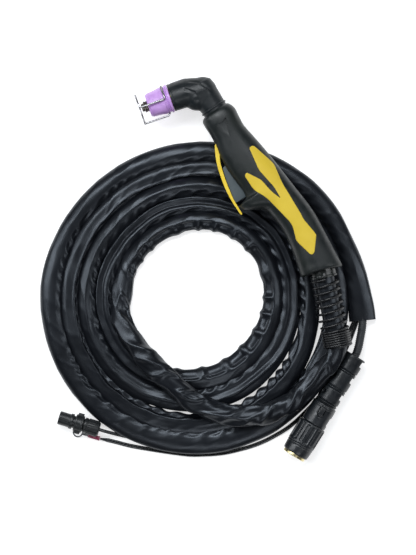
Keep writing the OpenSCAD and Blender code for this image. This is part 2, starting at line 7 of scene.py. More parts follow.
import math

import bmesh
import bpy
import numpy as np
from mathutils import Matrix, Vector
from mathutils.geometry import delaunay_2d_cdt


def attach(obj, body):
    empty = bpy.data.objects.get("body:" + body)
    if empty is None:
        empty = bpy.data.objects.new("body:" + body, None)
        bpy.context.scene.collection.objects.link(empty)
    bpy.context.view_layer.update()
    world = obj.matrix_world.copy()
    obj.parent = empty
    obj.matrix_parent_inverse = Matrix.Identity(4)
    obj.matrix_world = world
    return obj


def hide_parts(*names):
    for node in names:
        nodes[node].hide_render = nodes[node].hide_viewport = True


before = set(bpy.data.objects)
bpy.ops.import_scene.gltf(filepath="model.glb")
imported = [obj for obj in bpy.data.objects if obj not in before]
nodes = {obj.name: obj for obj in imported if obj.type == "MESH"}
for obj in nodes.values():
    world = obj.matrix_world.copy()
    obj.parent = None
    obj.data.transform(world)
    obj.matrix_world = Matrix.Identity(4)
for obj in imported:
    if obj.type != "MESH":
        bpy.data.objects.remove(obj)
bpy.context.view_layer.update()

MM = 0.001
HEAD_TURN = math.radians(76)
HEAD_REACH = 65.0
CROSSING = np.array([-HEAD_REACH * math.cos(HEAD_TURN), -HEAD_REACH * math.sin(HEAD_TURN), 0.0])
FLOOR_Z = -36.0
lattice = np.random.default_rng(11).random((32, 32, 32)) * 2 - 1


# ---- Shapes from rules ----
def at(points):
    """Millimetres from the crossing of the axes to metres in the row frame."""
    return (np.asarray(points, float) + CROSSING) * MM


def unit(v):
    return v / np.maximum(np.linalg.norm(v, axis=-1, keepdims=True), 1e-9)


def smooth(low, high, v):
    """0 below low, 1 above high and an even slope between; high may be the lower one."""
    t = np.clip((np.asarray(v, float) - low) / (high - low), 0, 1)
    return t * t * (3 - 2 * t)


def bump_at(v, width):
    return np.exp(-((np.asarray(v, float) / width) ** 2))


def uneven(p):
    """Smooth noise from -1 to 1 at points p, about one bump to a unit."""
    p = np.asarray(p, float)
    i = np.floor(p).astype(int)
    f = p - i
    f = f * f * (3 - 2 * f)
    total = 0
    for dx in (0, 1):
        for dy in (0, 1):
            for dz in (0, 1):
                share = np.abs(1 - dx - f[..., 0]) * np.abs(1 - dy - f[..., 1]) * np.abs(1 - dz - f[..., 2])
                total = total + share * lattice[(i[..., 0] + dx) % 32, (i[..., 1] + dy) % 32, (i[..., 2] + dz) % 32]
    return total


def field(x, y, z):
    """Points for uneven() from three values that may differ in shape."""
    return np.stack(np.broadcast_arrays(x, y, z), axis=-1)


def through(points, per=10, closed=False):
    """A smooth line through the points, with per steps between each two."""
    p = np.asarray(points, float)
    n = len(p)
    ends = [p[-1], p[0], p[1]] if closed else [2 * p[0] - p[1], 2 * p[-1] - p[-2]]
    q = np.vstack([ends[0], p, ends[1:]]) if closed else np.vstack([ends[0], p, ends[1]])
    t = (np.arange(per) / per)[:, None]
    out = []
    for k in range(n if closed else n - 1):
        a, b, c, d = q[k : k + 4]
        out.append(0.5 * (2 * b + (c - a) * t + (2 * a - 5 * b + 4 * c - d) * t**2 + (3 * b - a - 3 * c + d) * t**3))
    line = np.vstack(out)
    return line if closed else np.vstack([line, p[-1]])


def run_along(line):
    """The length along the line up to each of its points."""
    return np.concatenate([[0], np.cumsum(np.linalg.norm(np.diff(line, axis=0), axis=1))])


def evenly(line, step):
    """The line again, its points about step apart."""
    line = np.asarray(line, float)
    run = run_along(line)
    s = np.linspace(0, run[-1], max(2, int(round(run[-1] / step)) + 1))
    return np.stack([np.interp(s, run, line[:, k]) for k in range(line.shape[1])], axis=1)


def rounded(points, radius, steps=4, closed=False):
    """A flat outline whose corners are rounded; radius is one number or one for each corner."""
    p = [np.asarray(v, float) for v in points]
    n = len(p)
    radii = radius if isinstance(radius, (list, tuple)) else [radius] * n
    out = []
    for k in range(n):
        if not closed and k in (0, n - 1):
            out.append(p[k])
            continue
        a, b, c = p[k - 1], p[k], p[(k + 1) % n]
        cut = min(radii[k], 0.45 * np.linalg.norm(a - b), 0.45 * np.linalg.norm(c - b))
        start, end = b + unit(a - b) * cut, b + unit(c - b) * cut
        for i in range(steps + 1):
            t = i / steps
            out.append((1 - t) ** 2 * start + 2 * t * (1 - t) * b + t * t * end)
    return np.array(out)


def grid_faces(rows, columns):
    """The faces of a grid of points, row after row, that closes on itself across."""
    faces = []
    for r in range(rows - 1):
        low, high = r * columns, (r + 1) * columns
        for c in range(columns):
            d = (c + 1) % columns
            faces.append((low + c, low + d, high + d, high + c))
    return faces


def tube_faces(rows, columns):
    """A grid's faces and its two ends."""
    ends = [tuple(range(columns)), tuple(range((rows - 1) * columns, rows * columns))]
    return grid_faces(rows, columns) + ends


def smoothed(obj, angle=38):
    """Smooth shading that breaks only at edges sharper than the angle."""
    mesh = obj.data
    mesh.polygons.foreach_set("use_smooth", [True] * len(mesh.polygons))
    mesh.set_sharp_from_angle(angle=math.radians(angle))
    return obj


def as_object(name, points, faces, material=None, even_shading=True, tidy=True):
    """A mesh object at the origin, its place in its points, in metres."""
    mesh = bpy.data.meshes.new(name)
    mesh.from_pydata([tuple(p) for p in points], [], [tuple(f) for f in faces])
    if tidy:
        b = bmesh.new()
        b.from_mesh(mesh)
        bmesh.ops.remove_doubles(b, verts=b.verts, dist=1e-6)
        bmesh.ops.recalc_face_normals(b, faces=b.faces)
        b.to_mesh(mesh)
        b.free()
    obj = bpy.data.objects.new(name, mesh)
    bpy.context.scene.collection.objects.link(obj)
    if material:
        mesh.materials.append(material)
    return smoothed(obj) if even_shading else obj


def made_plain(obj, name=None):
    """The object's finished shape as a plain mesh without modifiers."""
    graph = bpy.context.evaluated_depsgraph_get()
    mesh = bpy.data.meshes.new_from_object(obj.evaluated_get(graph))
    obj.modifiers.clear()
    obj.data = mesh
    if name:
        obj.name = name
    return obj


def cut_away(obj, *cutters, operation="DIFFERENCE"):
    """Takes the cutters' shapes from the object, or joins them to it, and removes them."""
    for cutter in cutters:
        step = obj.modifiers.new("cut", "BOOLEAN")
        step.operation, step.solver, step.object = operation, "MANIFOLD", cutter
        made_plain(obj)
        bpy.data.objects.remove(cutter)
    return obj


def bevelled(obj, width, segments):
    step = obj.modifiers.new("edges", "BEVEL")
    step.width, step.segments = width * MM, segments
    return made_plain(obj)


def finish_piece(obj, body, slot, *replaced):
    """Every piece rides on its body and hides the CAD nodes it stands for; slot, the name of its finish, is not used.
    """
    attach(obj, body)
    if replaced:
        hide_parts(*replaced)
    return obj


class Line:
    """A straight axis: local x is up, y is across and z runs along it."""

    def __init__(self, origin, turn, dip=0.0):
        t, d = math.radians(turn), math.radians(dip)
        self.origin = np.asarray(origin, float)
        self.z = np.array([math.cos(t) * math.cos(d), math.sin(t) * math.cos(d), -math.sin(d)])
        self.x = unit(np.array([math.cos(t) * math.sin(d), math.sin(t) * math.sin(d), math.cos(d)]))
        self.y = np.cross(self.z, self.x)

    def spot(self, p):
        """The line's own points as millimetres from the crossing."""
        p = np.asarray(p, float)
        return self.origin + p[..., :1] * self.x + p[..., 1:2] * self.y + p[..., 2:3] * self.z

    def place(self, p):
        """The line's own points as metres in the row frame."""
        return at(self.spot(p))


def turned(name, line, profile, material, radius=0.4, sides=64, shape=None):
    """A turned piece: profile is (radius, place along) pairs, and shape(r, angle, s) may press it in.

    A profile that doesn't reach the axis is closed along the bore.
    """
    outline = rounded(profile, radius) if radius else np.array(profile, float)
    if shape:
        outline = evenly(outline, 0.45)
    if outline[0, 0] > 0 and outline[-1, 0] > 0:
        outline = np.vstack([outline, outline[:1]])
    q = np.arange(sides) * 2 * math.pi / sides
    r, s = outline[:, :1], outline[:, 1:2]
    angle = np.broadcast_to(q, (len(outline), sides))
    rr = np.broadcast_to(r, angle.shape)
    ss = np.broadcast_to(s, angle.shape)
    if shape:
        rr = np.where(rr > 0.01, shape(rr, angle, ss), rr)
    local = np.stack([rr * np.cos(angle), rr * np.sin(angle), ss], axis=-1).reshape(-1, 3)
    return as_object(name, line.place(local), grid_faces(len(outline), sides), material)


BLOCK_FACES = [(0, 1, 3, 2), (4, 6, 7, 5), (0, 4, 5, 1), (2, 3, 7, 6), (0, 2, 6, 4), (1, 5, 7, 3)]


def block_corners(low, high):
    xs, ys, zs = zip(low, high)
    return np.array([(x, y, z) for x in xs for y in ys for z in zs], float)


def box_part(name, line, low, high, material=None, bevel=0.0):
    """A block between two corners of a line's own frame, its edges rounded if asked."""
    obj = as_object(name, line.place(block_corners(low, high)), BLOCK_FACES, material, even_shading=False)
    return smoothed(bevelled(obj, bevel, 3), 50) if bevel else obj


def rod(name, start, end, r, sides=48):
    """A plain cylinder for cutting, between two points in millimetres."""
    a, b = np.asarray(start, float), np.asarray(end, float)
    z = unit(b - a)
    x = unit(np.cross(z, [0.0, 0.3, 1.0] if abs(z[2]) < 0.9 else [1.0, 0.0, 0.0]))
    y = np.cross(z, x)
    q = np.arange(sides) * 2 * math.pi / sides
    ring = np.cos(q)[:, None] * x * r + np.sin(q)[:, None] * y * r
    return as_object(name, at(np.vstack([a + ring, b + ring])), tube_faces(2, sides), even_shading=False)


def rings_along(line, flat):
    """Each ring's (out, up) points carried along the line, kept level across it."""
    ahead = unit(np.gradient(line, axis=0))
    out = unit(np.cross(ahead, [0.0, 0.0, 1.0]))
    up = np.cross(out, ahead)
    return line[:, None] + flat[..., :1] * out[:, None] + flat[..., 1:2] * up[:, None]


def swept(name, line, section, material, closed_ends=True):
    """A tube along a line in millimetres; section(run, line) gives each ring's (out, up) points."""
    line = np.asarray(line, float)
    rings = rings_along(line, section(run_along(line), line))
    faces = (tube_faces if closed_ends else grid_faces)(len(line), rings.shape[1])
    return as_object(name, at(rings.reshape(-1, 3)), faces, material)


def wire_along(name, line, r, material, start, sides=12):
    """A round wire along any line in space, its section carried without twisting."""
    line = np.asarray(line, float)
    ahead = unit(np.gradient(line, axis=0))
    side = unit(np.asarray(start, float))
    q = np.arange(sides) * 2 * math.pi / sides
    rings = []
    for p, t in zip(line, ahead):
        side = unit(side - t * side.dot(t))
        other = np.cross(t, side)
        rings.append(p + r * (np.cos(q)[:, None] * side + np.sin(q)[:, None] * other))
    return smoothed(as_object(name, at(np.vstack(rings)), tube_faces(len(line), sides), material), 80)


def tree_of_copies(name, item, material, **sizes):
    """A Geometry Nodes tree that sets the item on points, each turned about z, with named sizes."""
    tree = bpy.data.node_groups.new(name + "_tree", "GeometryNodeTree")
    new_socket = tree.interface.new_socket
    new_socket("Geometry", in_out="INPUT", socket_type="NodeSocketGeometry")
    keys = {}
    for key, value in sizes.items():
        kind = "NodeSocketInt" if isinstance(value, int) else "NodeSocketFloat"
        socket = new_socket(key.replace("_", " ").title(), in_out="INPUT", socket_type=kind)
        keys[socket.identifier] = value
    new_socket("Geometry", in_out="OUTPUT", socket_type="NodeSocketGeometry")
    add, link = tree.nodes.new, tree.links.new
    start, end, source = add("NodeGroupInput"), add("NodeGroupOutput"), add("GeometryNodeObjectInfo")
    place, turn = add("GeometryNodeInstanceOnPoints"), add("ShaderNodeCombineXYZ")
    real, paint = add("GeometryNodeRealizeInstances"), add("GeometryNodeSetMaterial")
    source.inputs["Object"].default_value = item
    paint.inputs["Material"].default_value = material
    link(source.outputs["Geometry"], place.inputs["Instance"])
    link(turn.outputs["Vector"], place.inputs["Rotation"])
    link(place.outputs["Instances"], real.inputs["Geometry"])
    link(real.outputs["Geometry"], paint.inputs["Geometry"])
    link(paint.outputs["Geometry"], end.inputs["Geometry"])
    return tree, keys, start, place, turn.inputs["Z"]


def run_tree(carrier, tree, keys, item):
    """The carrier's shape after the tree, as a plain mesh; the single item is no longer needed."""
    step = carrier.modifiers.new("copies", "NODES")
    step.node_group = tree
    for key, value in keys.items():
        step[key] = value
    made_plain(carrier)
    bpy.data.objects.remove(item)
    return smoothed(carrier)


def copies_on_points(name, item, points, material, spin_seed):
    """The item on each point, turned about z by an angle of its own."""
    carrier = as_object(name, at(points), [], tidy=False, even_shading=False)
    angles = np.random.default_rng(spin_seed).uniform(0, math.pi, len(points))
    carrier.data.attributes.new("turn", "FLOAT", "POINT").data.foreach_set("value", angles)
    tree, keys, start, place, turn = tree_of_copies(name, item, material, item_scale=1.0)
    read = tree.nodes.new("GeometryNodeInputNamedAttribute")
    read.data_type = "FLOAT"
    read.inputs["Name"].default_value = "turn"
    tree.links.new(start.outputs["Geometry"], place.inputs["Points"])
    tree.links.new(start.outputs["Item Scale"], place.inputs["Scale"])
    tree.links.new(read.outputs["Attribute"], turn)
    return run_tree(carrier, tree, keys, item)


def ring_of(name, item, line, count, material):
    """Copies of the item round a line: the item points out along x, and z runs along the line."""
    tree, keys, start, place, turn = tree_of_copies(name, item, material, count=count)
    add, link = tree.nodes.new, tree.links.new
    points, index = add("GeometryNodePoints"), add("GeometryNodeInputIndex")
    share, angle = add("ShaderNodeMath"), add("ShaderNodeMath")
    share.operation, angle.operation = "DIVIDE", "MULTIPLY"
    angle.inputs[1].default_value = 2 * math.pi
    link(start.outputs["Count"], points.inputs["Count"])
    link(points.outputs[0], place.inputs["Points"])
    link(index.outputs[0], share.inputs[0])
    link(start.outputs["Count"], share.inputs[1])
    link(share.outputs[0], angle.inputs[0])
    link(angle.outputs[0], turn)
    ring = run_tree(as_object(name, [(0, 0, 0)], [], tidy=False, even_shading=False), tree, keys, item)
    axes = Matrix([[*row, 0] for row in np.column_stack([line.x, line.y, line.z])] + [[0, 0, 0, 1]])
    ring.data.transform(Matrix.Translation(Vector(at(line.origin))) @ axes)
    ring.data.update()
    return ring


# ---- Finishes ----
class Finish:
    """One material, built from a principled shader and the few nodes that a maker needs."""

    def __init__(self, name, colour, roughness, metallic=0.0, specular=0.5):
        self.material = bpy.data.materials.new(name)
        self.material.use_nodes = True
        self.tree = self.material.node_tree
        self.shader = self.tree.nodes["Principled BSDF"]
        self.colour, self.roughness = colour, roughness
        self.shader.inputs["Base Color"].default_value = (*colour, 1)
        self.shader.inputs["Roughness"].default_value = roughness
        self.shader.inputs["Metallic"].default_value = metallic
        self.shader.inputs["Specular IOR Level"].default_value = specular
        self.place = self.add("ShaderNodeTexCoord").outputs["Object"]

    def add(self, kind, **values):
        node = self.tree.nodes.new(kind)
        for key, value in values.items():
            setattr(node, key, value)
        return node

    def link(self, a, b):
        self.tree.links.new(a, b)

    def noise(self, scale, detail=3.0, stretch=None, rough=0.5):
        node = self.add("ShaderNodeTexNoise")
        node.inputs["Scale"].default_value = scale
        node.inputs["Detail"].default_value = detail
        node.inputs["Roughness"].default_value = rough
        source = self.place
        if stretch:
            turn = self.add("ShaderNodeMapping")
            turn.inputs["Scale"].default_value = stretch
            self.link(source, turn.inputs["Vector"])
            source = turn.outputs["Vector"]
        self.link(source, node.inputs["Vector"])
        return node.outputs["Fac"]

    def cells(self, scale, feature="F1"):
        node = self.add("ShaderNodeTexVoronoi", feature=feature)
        node.inputs["Scale"].default_value = scale
        self.link(self.place, node.inputs["Vector"])
        return node.outputs["Distance"]

    def spread(self, value, low, high, from_low=0.35, from_high=0.65):
        node = self.add("ShaderNodeMapRange")
        for key, v in (("From Min", from_low), ("From Max", from_high), ("To Min", low), ("To Max", high)):
            node.inputs[key].default_value = v
        self.link(value, node.inputs["Value"])
        return node.outputs["Result"]

    def vary_colour(self, value, other, low=0.35, high=0.65):
        """Mixes another colour over what the surface has so far, where the value is high."""
        mix = self.add("ShaderNodeMix", data_type="RGBA")
        base = self.shader.inputs["Base Color"]
        if base.is_linked:
            self.link(base.links[0].from_socket, mix.inputs[6])
        else:
            mix.inputs[6].default_value = (*self.colour, 1)
        mix.inputs[7].default_value = (*other, 1)
        self.link(self.spread(value, 0, 1, low, high), mix.inputs[0])
        self.link(mix.outputs[2], base)
        return self

    def vary_roughness(self, value, low, high, from_low=0.35, from_high=0.65):
        self.link(self.spread(value, low, high, from_low, from_high), self.shader.inputs["Roughness"])
        return self

    def relief(self, value, depth_mm, strength=1.0):
        bump = self.add("ShaderNodeBump")
        bump.inputs["Strength"].default_value = strength
        bump.inputs["Distance"].default_value = depth_mm * MM
        self.link(value, bump.inputs["Height"])
        normal = self.shader.inputs["Normal"]
        if normal.is_linked:
            self.link(normal.links[0].from_socket, bump.inputs["Normal"])
        self.link(bump.outputs["Normal"], normal)
        return self

    def coat(self, weight, roughness):
        self.shader.inputs["Coat Weight"].default_value = weight
        self.shader.inputs["Coat Roughness"].default_value = roughness
        return self


def moulded(name, colour, roughness, lighter, grain=1500, depth=0.02, specular=0.45, marks=None):
    """A moulded plastic: fine grain, a slow change of shade and, if asked, faint rub marks."""
    f = Finish(name, colour, roughness, specular=specular)
    f.vary_colour(f.noise(38, 4), lighter, 0.4, 0.75)
    f.vary_roughness(f.noise(120, 3), roughness - 0.05, roughness + 0.09)
    f.relief(f.noise(grain, 2), depth, 0.7)
    if marks:
        f.vary_colour(f.noise(160, 5, (1, 0.15, 1), 0.7), marks, 0.62, 0.75)
    return f.material


def rubbery(name, colour, roughness, lighter, grain=900, depth=0.03):
    f = Finish(name, colour, roughness, specular=0.4)
    f.vary_colour(f.noise(60, 4), lighter, 0.4, 0.7)
    f.vary_roughness(f.noise(200, 3), roughness - 0.06, roughness + 0.08)
    f.relief(f.noise(grain, 3), depth, 0.6)
    f.relief(f.noise(70, 2), 0.12, 0.5)
    return f.material


def metal(name, colour, roughness, darker, scratch=(1, 1, 1), tarnish=0.5, rim=None):
    f = Finish(name, colour, roughness, metallic=1.0)
    if rim:
        f.shader.inputs["Specular Tint"].default_value = (*rim, 1)
    f.vary_colour(f.noise(90, 5), darker, tarnish, tarnish + 0.25)
    f.vary_roughness(f.noise(260, 4, scratch), roughness - 0.07, roughness + 0.13)
    f.relief(f.noise(1300, 3, scratch), 0.012, 0.6)
    return f.material


handle_grey = moulded("handle_plastic", (0.0058, 0.0090, 0.0096), 0.40, (0.0085, 0.0120, 0.0100), 1700, 0.02, 0.42,
                      marks=(0.020, 0.026, 0.025))
head_black = moulded("head_plastic", (0.0062, 0.0092, 0.0112), 0.4, (0.011, 0.015, 0.0175), 800, 0.02,
                     marks=(0.022, 0.028, 0.031))
bush_black = moulded("bush_plastic", (0.006, 0.008, 0.0075), 0.2, (0.01, 0.013, 0.012), 900, 0.008, 0.6)
connector_black = moulded("connector_plastic", (0.0085, 0.0105, 0.0130), 0.32, (0.013, 0.016, 0.020), 1300, 0.014, 0.6)
plug_black = moulded("plug_plastic", (0.010, 0.012, 0.013), 0.38, (0.017, 0.019, 0.021), 1500, 0.018)
blade_grey = moulded("grey_plastic", (0.046, 0.062, 0.070), 0.5, (0.060, 0.080, 0.088), 1400, 0.02)
switch_black = moulded("switch_plastic", (0.012, 0.012, 0.013), 0.4, (0.02, 0.02, 0.02))
plunger_red = moulded("plunger_plastic", (0.4, 0.035, 0.025), 0.3, (0.5, 0.06, 0.04))
boot_black = rubbery("boot_rubber", (0.0090, 0.0108, 0.0130), 0.36, (0.014, 0.017, 0.020))
hose_black = rubbery("hose_rubber", (0.022, 0.025, 0.028), 0.5, (0.034, 0.038, 0.042))
seal_black = rubbery("seal_rubber", (0.008, 0.008, 0.008), 0.4, (0.012, 0.012, 0.012))
spring_steel = metal("spring_steel", (0.46, 0.47, 0.49), 0.3, (0.3, 0.3, 0.31))
screw_steel = metal("screw_steel", (0.55, 0.56, 0.57), 0.28, (0.4, 0.4, 0.4))
guide_steel = metal("bright_wire", (0.46, 0.46, 0.47), 0.26, (0.32, 0.31, 0.30), tarnish=0.5, rim=(0.12, 0.12, 0.13))
brass = metal("brass", (0.6, 0.42, 0.17), 0.3, (0.42, 0.28, 0.1))
pale_brass = metal("pale_brass", (0.78, 0.69, 0.40), 0.3, (0.58, 0.47, 0.22))
copper = metal("copper", (0.7, 0.35, 0.2), 0.3, (0.45, 0.22, 0.12))
used_copper = metal("nozzle_copper", (0.22, 0.20, 0.18), 0.32, (0.07, 0.064, 0.06), tarnish=0.4)
tin = metal("tinned_copper", (0.62, 0.64, 0.66), 0.26, (0.48, 0.49, 0.5))


def yellow_grip():
    f = Finish("yellow_grip", (0.66, 0.475, 0.036), 0.56, specular=0.3)
    f.vary_colour(f.noise(45, 4), (0.72, 0.53, 0.05), 0.4, 0.7)
    f.relief(f.noise(1500, 2), 0.018, 0.7)
    f.vary_roughness(f.noise(150, 3), 0.5, 0.64)
    return f.material


def yellow_lever():
    f = Finish("yellow_lever", (0.78, 0.54, 0.02), 0.36, specular=0.5)
    f.vary_colour(f.noise(70, 4), (0.86, 0.63, 0.05), 0.4, 0.7)
    f.vary_roughness(f.noise(200, 3), 0.3, 0.46)
    f.relief(f.noise(1200, 2), 0.012, 0.6)
    return f.material


def lilac_ceramic():
    """A fired ceramic: chalky glaze with faint grey rubs and tiny pits."""
    f = Finish("lilac_ceramic", (0.50, 0.27, 0.66), 0.38, specular=0.5)
    f.vary_colour(f.noise(120, 5), (0.62, 0.36, 0.79), 0.38, 0.68)
    f.vary_colour(f.noise(230, 6, (1, 1, 0.25), 0.75), (0.20, 0.10, 0.27), 0.60, 0.74)
    f.vary_roughness(f.noise(300, 4), 0.3, 0.52)
    f.relief(f.noise(1800, 3), 0.02, 0.6)
    f.relief(f.cells(700), 0.02, 0.3)
    f.coat(0.25, 0.25)
    return f.material


def sleeve_cloth():
    """A coated sleeve: satin black skin over a fine weave, paler where it is rubbed."""
    f = Finish("sleeve_fabric", (0.0036, 0.0042, 0.0058), 0.31, specular=0.46)
    f.shader.inputs["Specular Tint"].default_value = (0.82, 0.90, 1.0, 1)
    f.vary_colour(f.noise(16, 5), (0.0068, 0.0080, 0.0108), 0.38, 0.7)
    f.vary_roughness(f.noise(45, 4), 0.28, 0.38)
    f.relief(f.noise(95, 3, rough=0.55), 0.06, 0.35)
    f.relief(f.noise(2200, 2), 0.012, 0.4)
    return f.material


def black_steel():
    f = Finish("black_steel", (0.0055, 0.006, 0.007), 0.27, metallic=0.0, specular=0.55)
    f.vary_colour(f.noise(300, 4), (0.014, 0.015, 0.017), 0.5, 0.75)
    f.vary_roughness(f.noise(240, 3), 0.22, 0.36)
    f.relief(f.noise(900, 2), 0.006, 0.4)
    return f.material


def glossy_wire():
    f = Finish("wire_pvc", (0.010, 0.0115, 0.013), 0.22, specular=0.55)
    f.vary_colour(f.noise(80, 3), (0.018, 0.02, 0.022), 0.4, 0.7)
    f.vary_roughness(f.noise(260, 3), 0.18, 0.32)
    f.relief(f.noise(400, 2), 0.03, 0.4)
    return f.material


def red_barrel():
    f = Finish("red_nylon", (0.23, 0.018, 0.062), 0.3, specular=0.5)
    f.vary_colour(f.noise(300, 3), (0.33, 0.035, 0.09), 0.4, 0.7)
    f.relief(f.noise(900, 2), 0.02, 0.5)
    f.coat(0.4, 0.15)
    return f.material


def fired_clay():
    f = Finish("swirl_ceramic", (0.76, 0.72, 0.62), 0.6)
    f.vary_colour(f.noise(200, 4), (0.66, 0.6, 0.5), 0.4, 0.7)
    f.relief(f.noise(1500, 3), 0.02, 0.6)
    return f.material


grip_yellow, lever_yellow, lilac, sleeve_skin = yellow_grip(), yellow_lever(), lilac_ceramic(), sleeve_cloth()
spring_black, wire_black, barrel_red, clay = black_steel(), glossy_wire(), red_barrel(), fired_clay()


# ---- Camera, light and floor ----
UP = np.array([0.8363, -0.5483, 0.0])
RIGHT = np.array([-0.5483, -0.8363, 0.0])
VIEW_MIDDLE = at([-170.1, 102.1, -14.0])
VIEW_HEIGHT = 0.5828
VIEW_DISTANCE = 2.6
SENSOR = 36

camera = bpy.data.objects.new("camera", bpy.data.cameras.new("camera"))
bpy.context.scene.collection.objects.link(camera)
camera.data.sensor_width = SENSOR
camera.data.lens = SENSOR * VIEW_DISTANCE / VIEW_HEIGHT
camera.data.clip_end = 20
turn = Matrix((Vector(RIGHT), Vector(UP), Vector((0, 0, 1)))).transposed()
camera.matrix_world = Matrix.Translation(Vector(VIEW_MIDDLE) + Vector((0, 0, VIEW_DISTANCE))) @ turn.to_4x4()
bpy.context.scene.camera = camera


def lamp(name, right, up, height, size, power, tint, long):
    """A soft box, placed by how far it is to the right, up and above in the view, in metres."""
    light = bpy.data.lights.new(name, "AREA")
    light.energy, light.size, light.color = power, size, tint
    light.shape, light.size_y = "RECTANGLE", long
    obj = bpy.data.objects.new(name, light)
    bpy.context.scene.collection.objects.link(obj)
    place = Vector(VIEW_MIDDLE + RIGHT * right + UP * up + np.array([0, 0, height]))
    aim = (Vector(VIEW_MIDDLE) - place).to_track_quat("-Z", "Y")
    obj.matrix_world = Matrix.Translation(place) @ aim.to_matrix().to_4x4()


lamp("soft_box_top", -0.2, 0.8, 1.55, 1.4, 21, (0.93, 0.965, 1.0), 0.5)
lamp("soft_box_left", -1.15, 0.25, 1.05, 0.4, 9.0, (0.92, 0.96, 1.0), 1.1)
lamp("soft_box_right", 1.15, 0.1, 1.05, 0.35, 5.0, (0.94, 0.97, 1.0), 1.1)
lamp("soft_box_low", 0.1, -0.95, 1.25, 1.0, 4.0, (0.95, 0.97, 1.0), 0.3)
world = bpy.data.worlds.new("studio")
bpy.context.scene.world = world
world.use_nodes = True
sky = world.node_tree.nodes["Background"].inputs
sky["Color"].default_value = (0.92, 0.95, 1.0, 1)
sky["Strength"].default_value = 0.07
bpy.context.scene.view_settings.view_transform = "Standard"
bpy.context.scene.view_settings.exposure = 0.0


def paper():
    f = Finish("studio_paper", (0.7, 0.7, 0.7), 0.9, specular=0.1)
    f.vary_colour(f.noise(2, 2), (0.72, 0.72, 0.72))
    f.shader.inputs["Emission Color"].default_value = (1, 1, 1, 1)
    f.shader.inputs["Emission Strength"].default_value = 0.6
    return f.material


FLOOR_HALF = 3.0
floor_middle = at([-170, 102, FLOOR_Z - 0.4])
floor_points = [floor_middle + np.array([x, y, 0]) * FLOOR_HALF for x, y in ((-1, -1), (1, -1), (1, 1), (-1, 1))]
floor = as_object("studio_floor", floor_points, [(0, 1, 2, 3)], paper(), tidy=False)

# ---- The sleeved lead ----
SLEEVE_HALF_W, SLEEVE_HALF_H = 10.3, 6.6
REAR = Line([-231, -1.8, 0], 158.4, 3)
SPRING_OUT, SPRING_WIRE, SPRING_OD = 6.0, 2.3, 30.0
OPEN_TURNS, OPEN_PITCH, CLOSED_TURNS, CLOSED_PITCH = 8, 7.0, 7, 2.4
LAY_Z = FLOOR_Z + SLEEVE_HALF_H
coil_middle = np.array([-189.3, 115.9])
# Angle round the coil from the view's right, and radius there, from the machine's end inwards
coil_keys = [
    (-7.6, 165.6), (2.6, 160.3), (13.7, 158), (24.1, 155.9), (33.7, 155.9), (55.3, 155.3), (90, 154.4),
    (135, 158.6), (180, 162.8), (225, 157.5), (270, 148), (315, 141.5), (360, 138.6), (405, 136.5),
    (450, 138.3), (495, 142), (540, 144.9), (585, 140), (630, 131.3), (675, 117), (720, 108), (765, 113),
    (810, 120.1), (855, 124.5), (900, 126.8), (945, 120), (990, 103.5), (1035, 92), (1080, 88.6),
    (1125, 95.5), (1170, 101.9), (1215, 106.3), (1260, 108.2), (1305, 99), (1350, 82.5), (1395, 71),
    (1440, 69.3), (1485, 76), (1530, 83), (1575, 87.6), (1602, 90.2),
]
tail_points = [
    (-151, 201, -27.5), (-176, 206, -22), (-204, 203, -16.8), (-234, 197, -15), (-265, 189, -15),
    (-292, 174, -15), (-312, 153, -15), (-324, 127, -15), (-327.5, 99, -14.4), (-323, 70, -12), (-314.5, 44, -7.5),
]


def coil_point(turn_deg, r):
    q = np.radians(turn_deg)
    flat = coil_middle + r[:, None] * (np.cos(q)[:, None] * RIGHT[:2] + np.sin(q)[:, None] * UP[:2])
    return np.column_stack([flat, np.full(len(r), LAY_Z)])


dense = through(coil_keys, 12)
spring_length = OPEN_TURNS * OPEN_PITCH + CLOSED_TURNS * CLOSED_PITCH + SPRING_WIRE
in_spring = REAR.origin + REAR.z * np.array([[k] for k in (SPRING_OUT + spring_length, 62, 40, 18, 2.5)])
sleeve_line = np.vstack([coil_point(dense[:, 0], dense[:, 1]), tail_points, in_spring])
RING_STEP = 1.95
sleeve_line = evenly(through(evenly(sleeve_line, 14), 8), RING_STEP)[::-1]
SKIN = 0.8
SLEEVE_FURTHEST = 14.6
# Round the section from its outer side over the top; the flat side on the table needs fewer points
sleeve_angles = np.radians(np.concatenate([np.linspace(-22, 202, 40), np.linspace(216, 324, 8)]))
from_middle = (sleeve_line[:, :2] - coil_middle) @ np.column_stack([RIGHT[:2], UP[:2]])
around_coil = np.degrees(np.unwrap(np.arctan2(from_middle[:, 1], from_middle[:, 0])))
around_coil += coil_keys[0][0] - around_coil[-1]


def folds_of(s, c, d, tail):
    """Soft slanting folds, deepest on the strand that crosses over the coil."""
    slant = uneven(field((s + 15 * c) / 21, c * 0.7 - d * 0.4, d * 0.7 + 5.2))
    crease = (1 - np.abs(slant) * 2.6).clip(0, 1) ** 1.5
    drape = uneven(field((s - 9 * c) / 34, c * 0.6 + 3, d * 0.6))
    lift = tail * (2.5 * crease - 1.1) + 0.35 * crease * (1 - tail) + (0.4 + 1.3 * tail) * drape
    return lift * smooth(-0.5, 0.3, d)


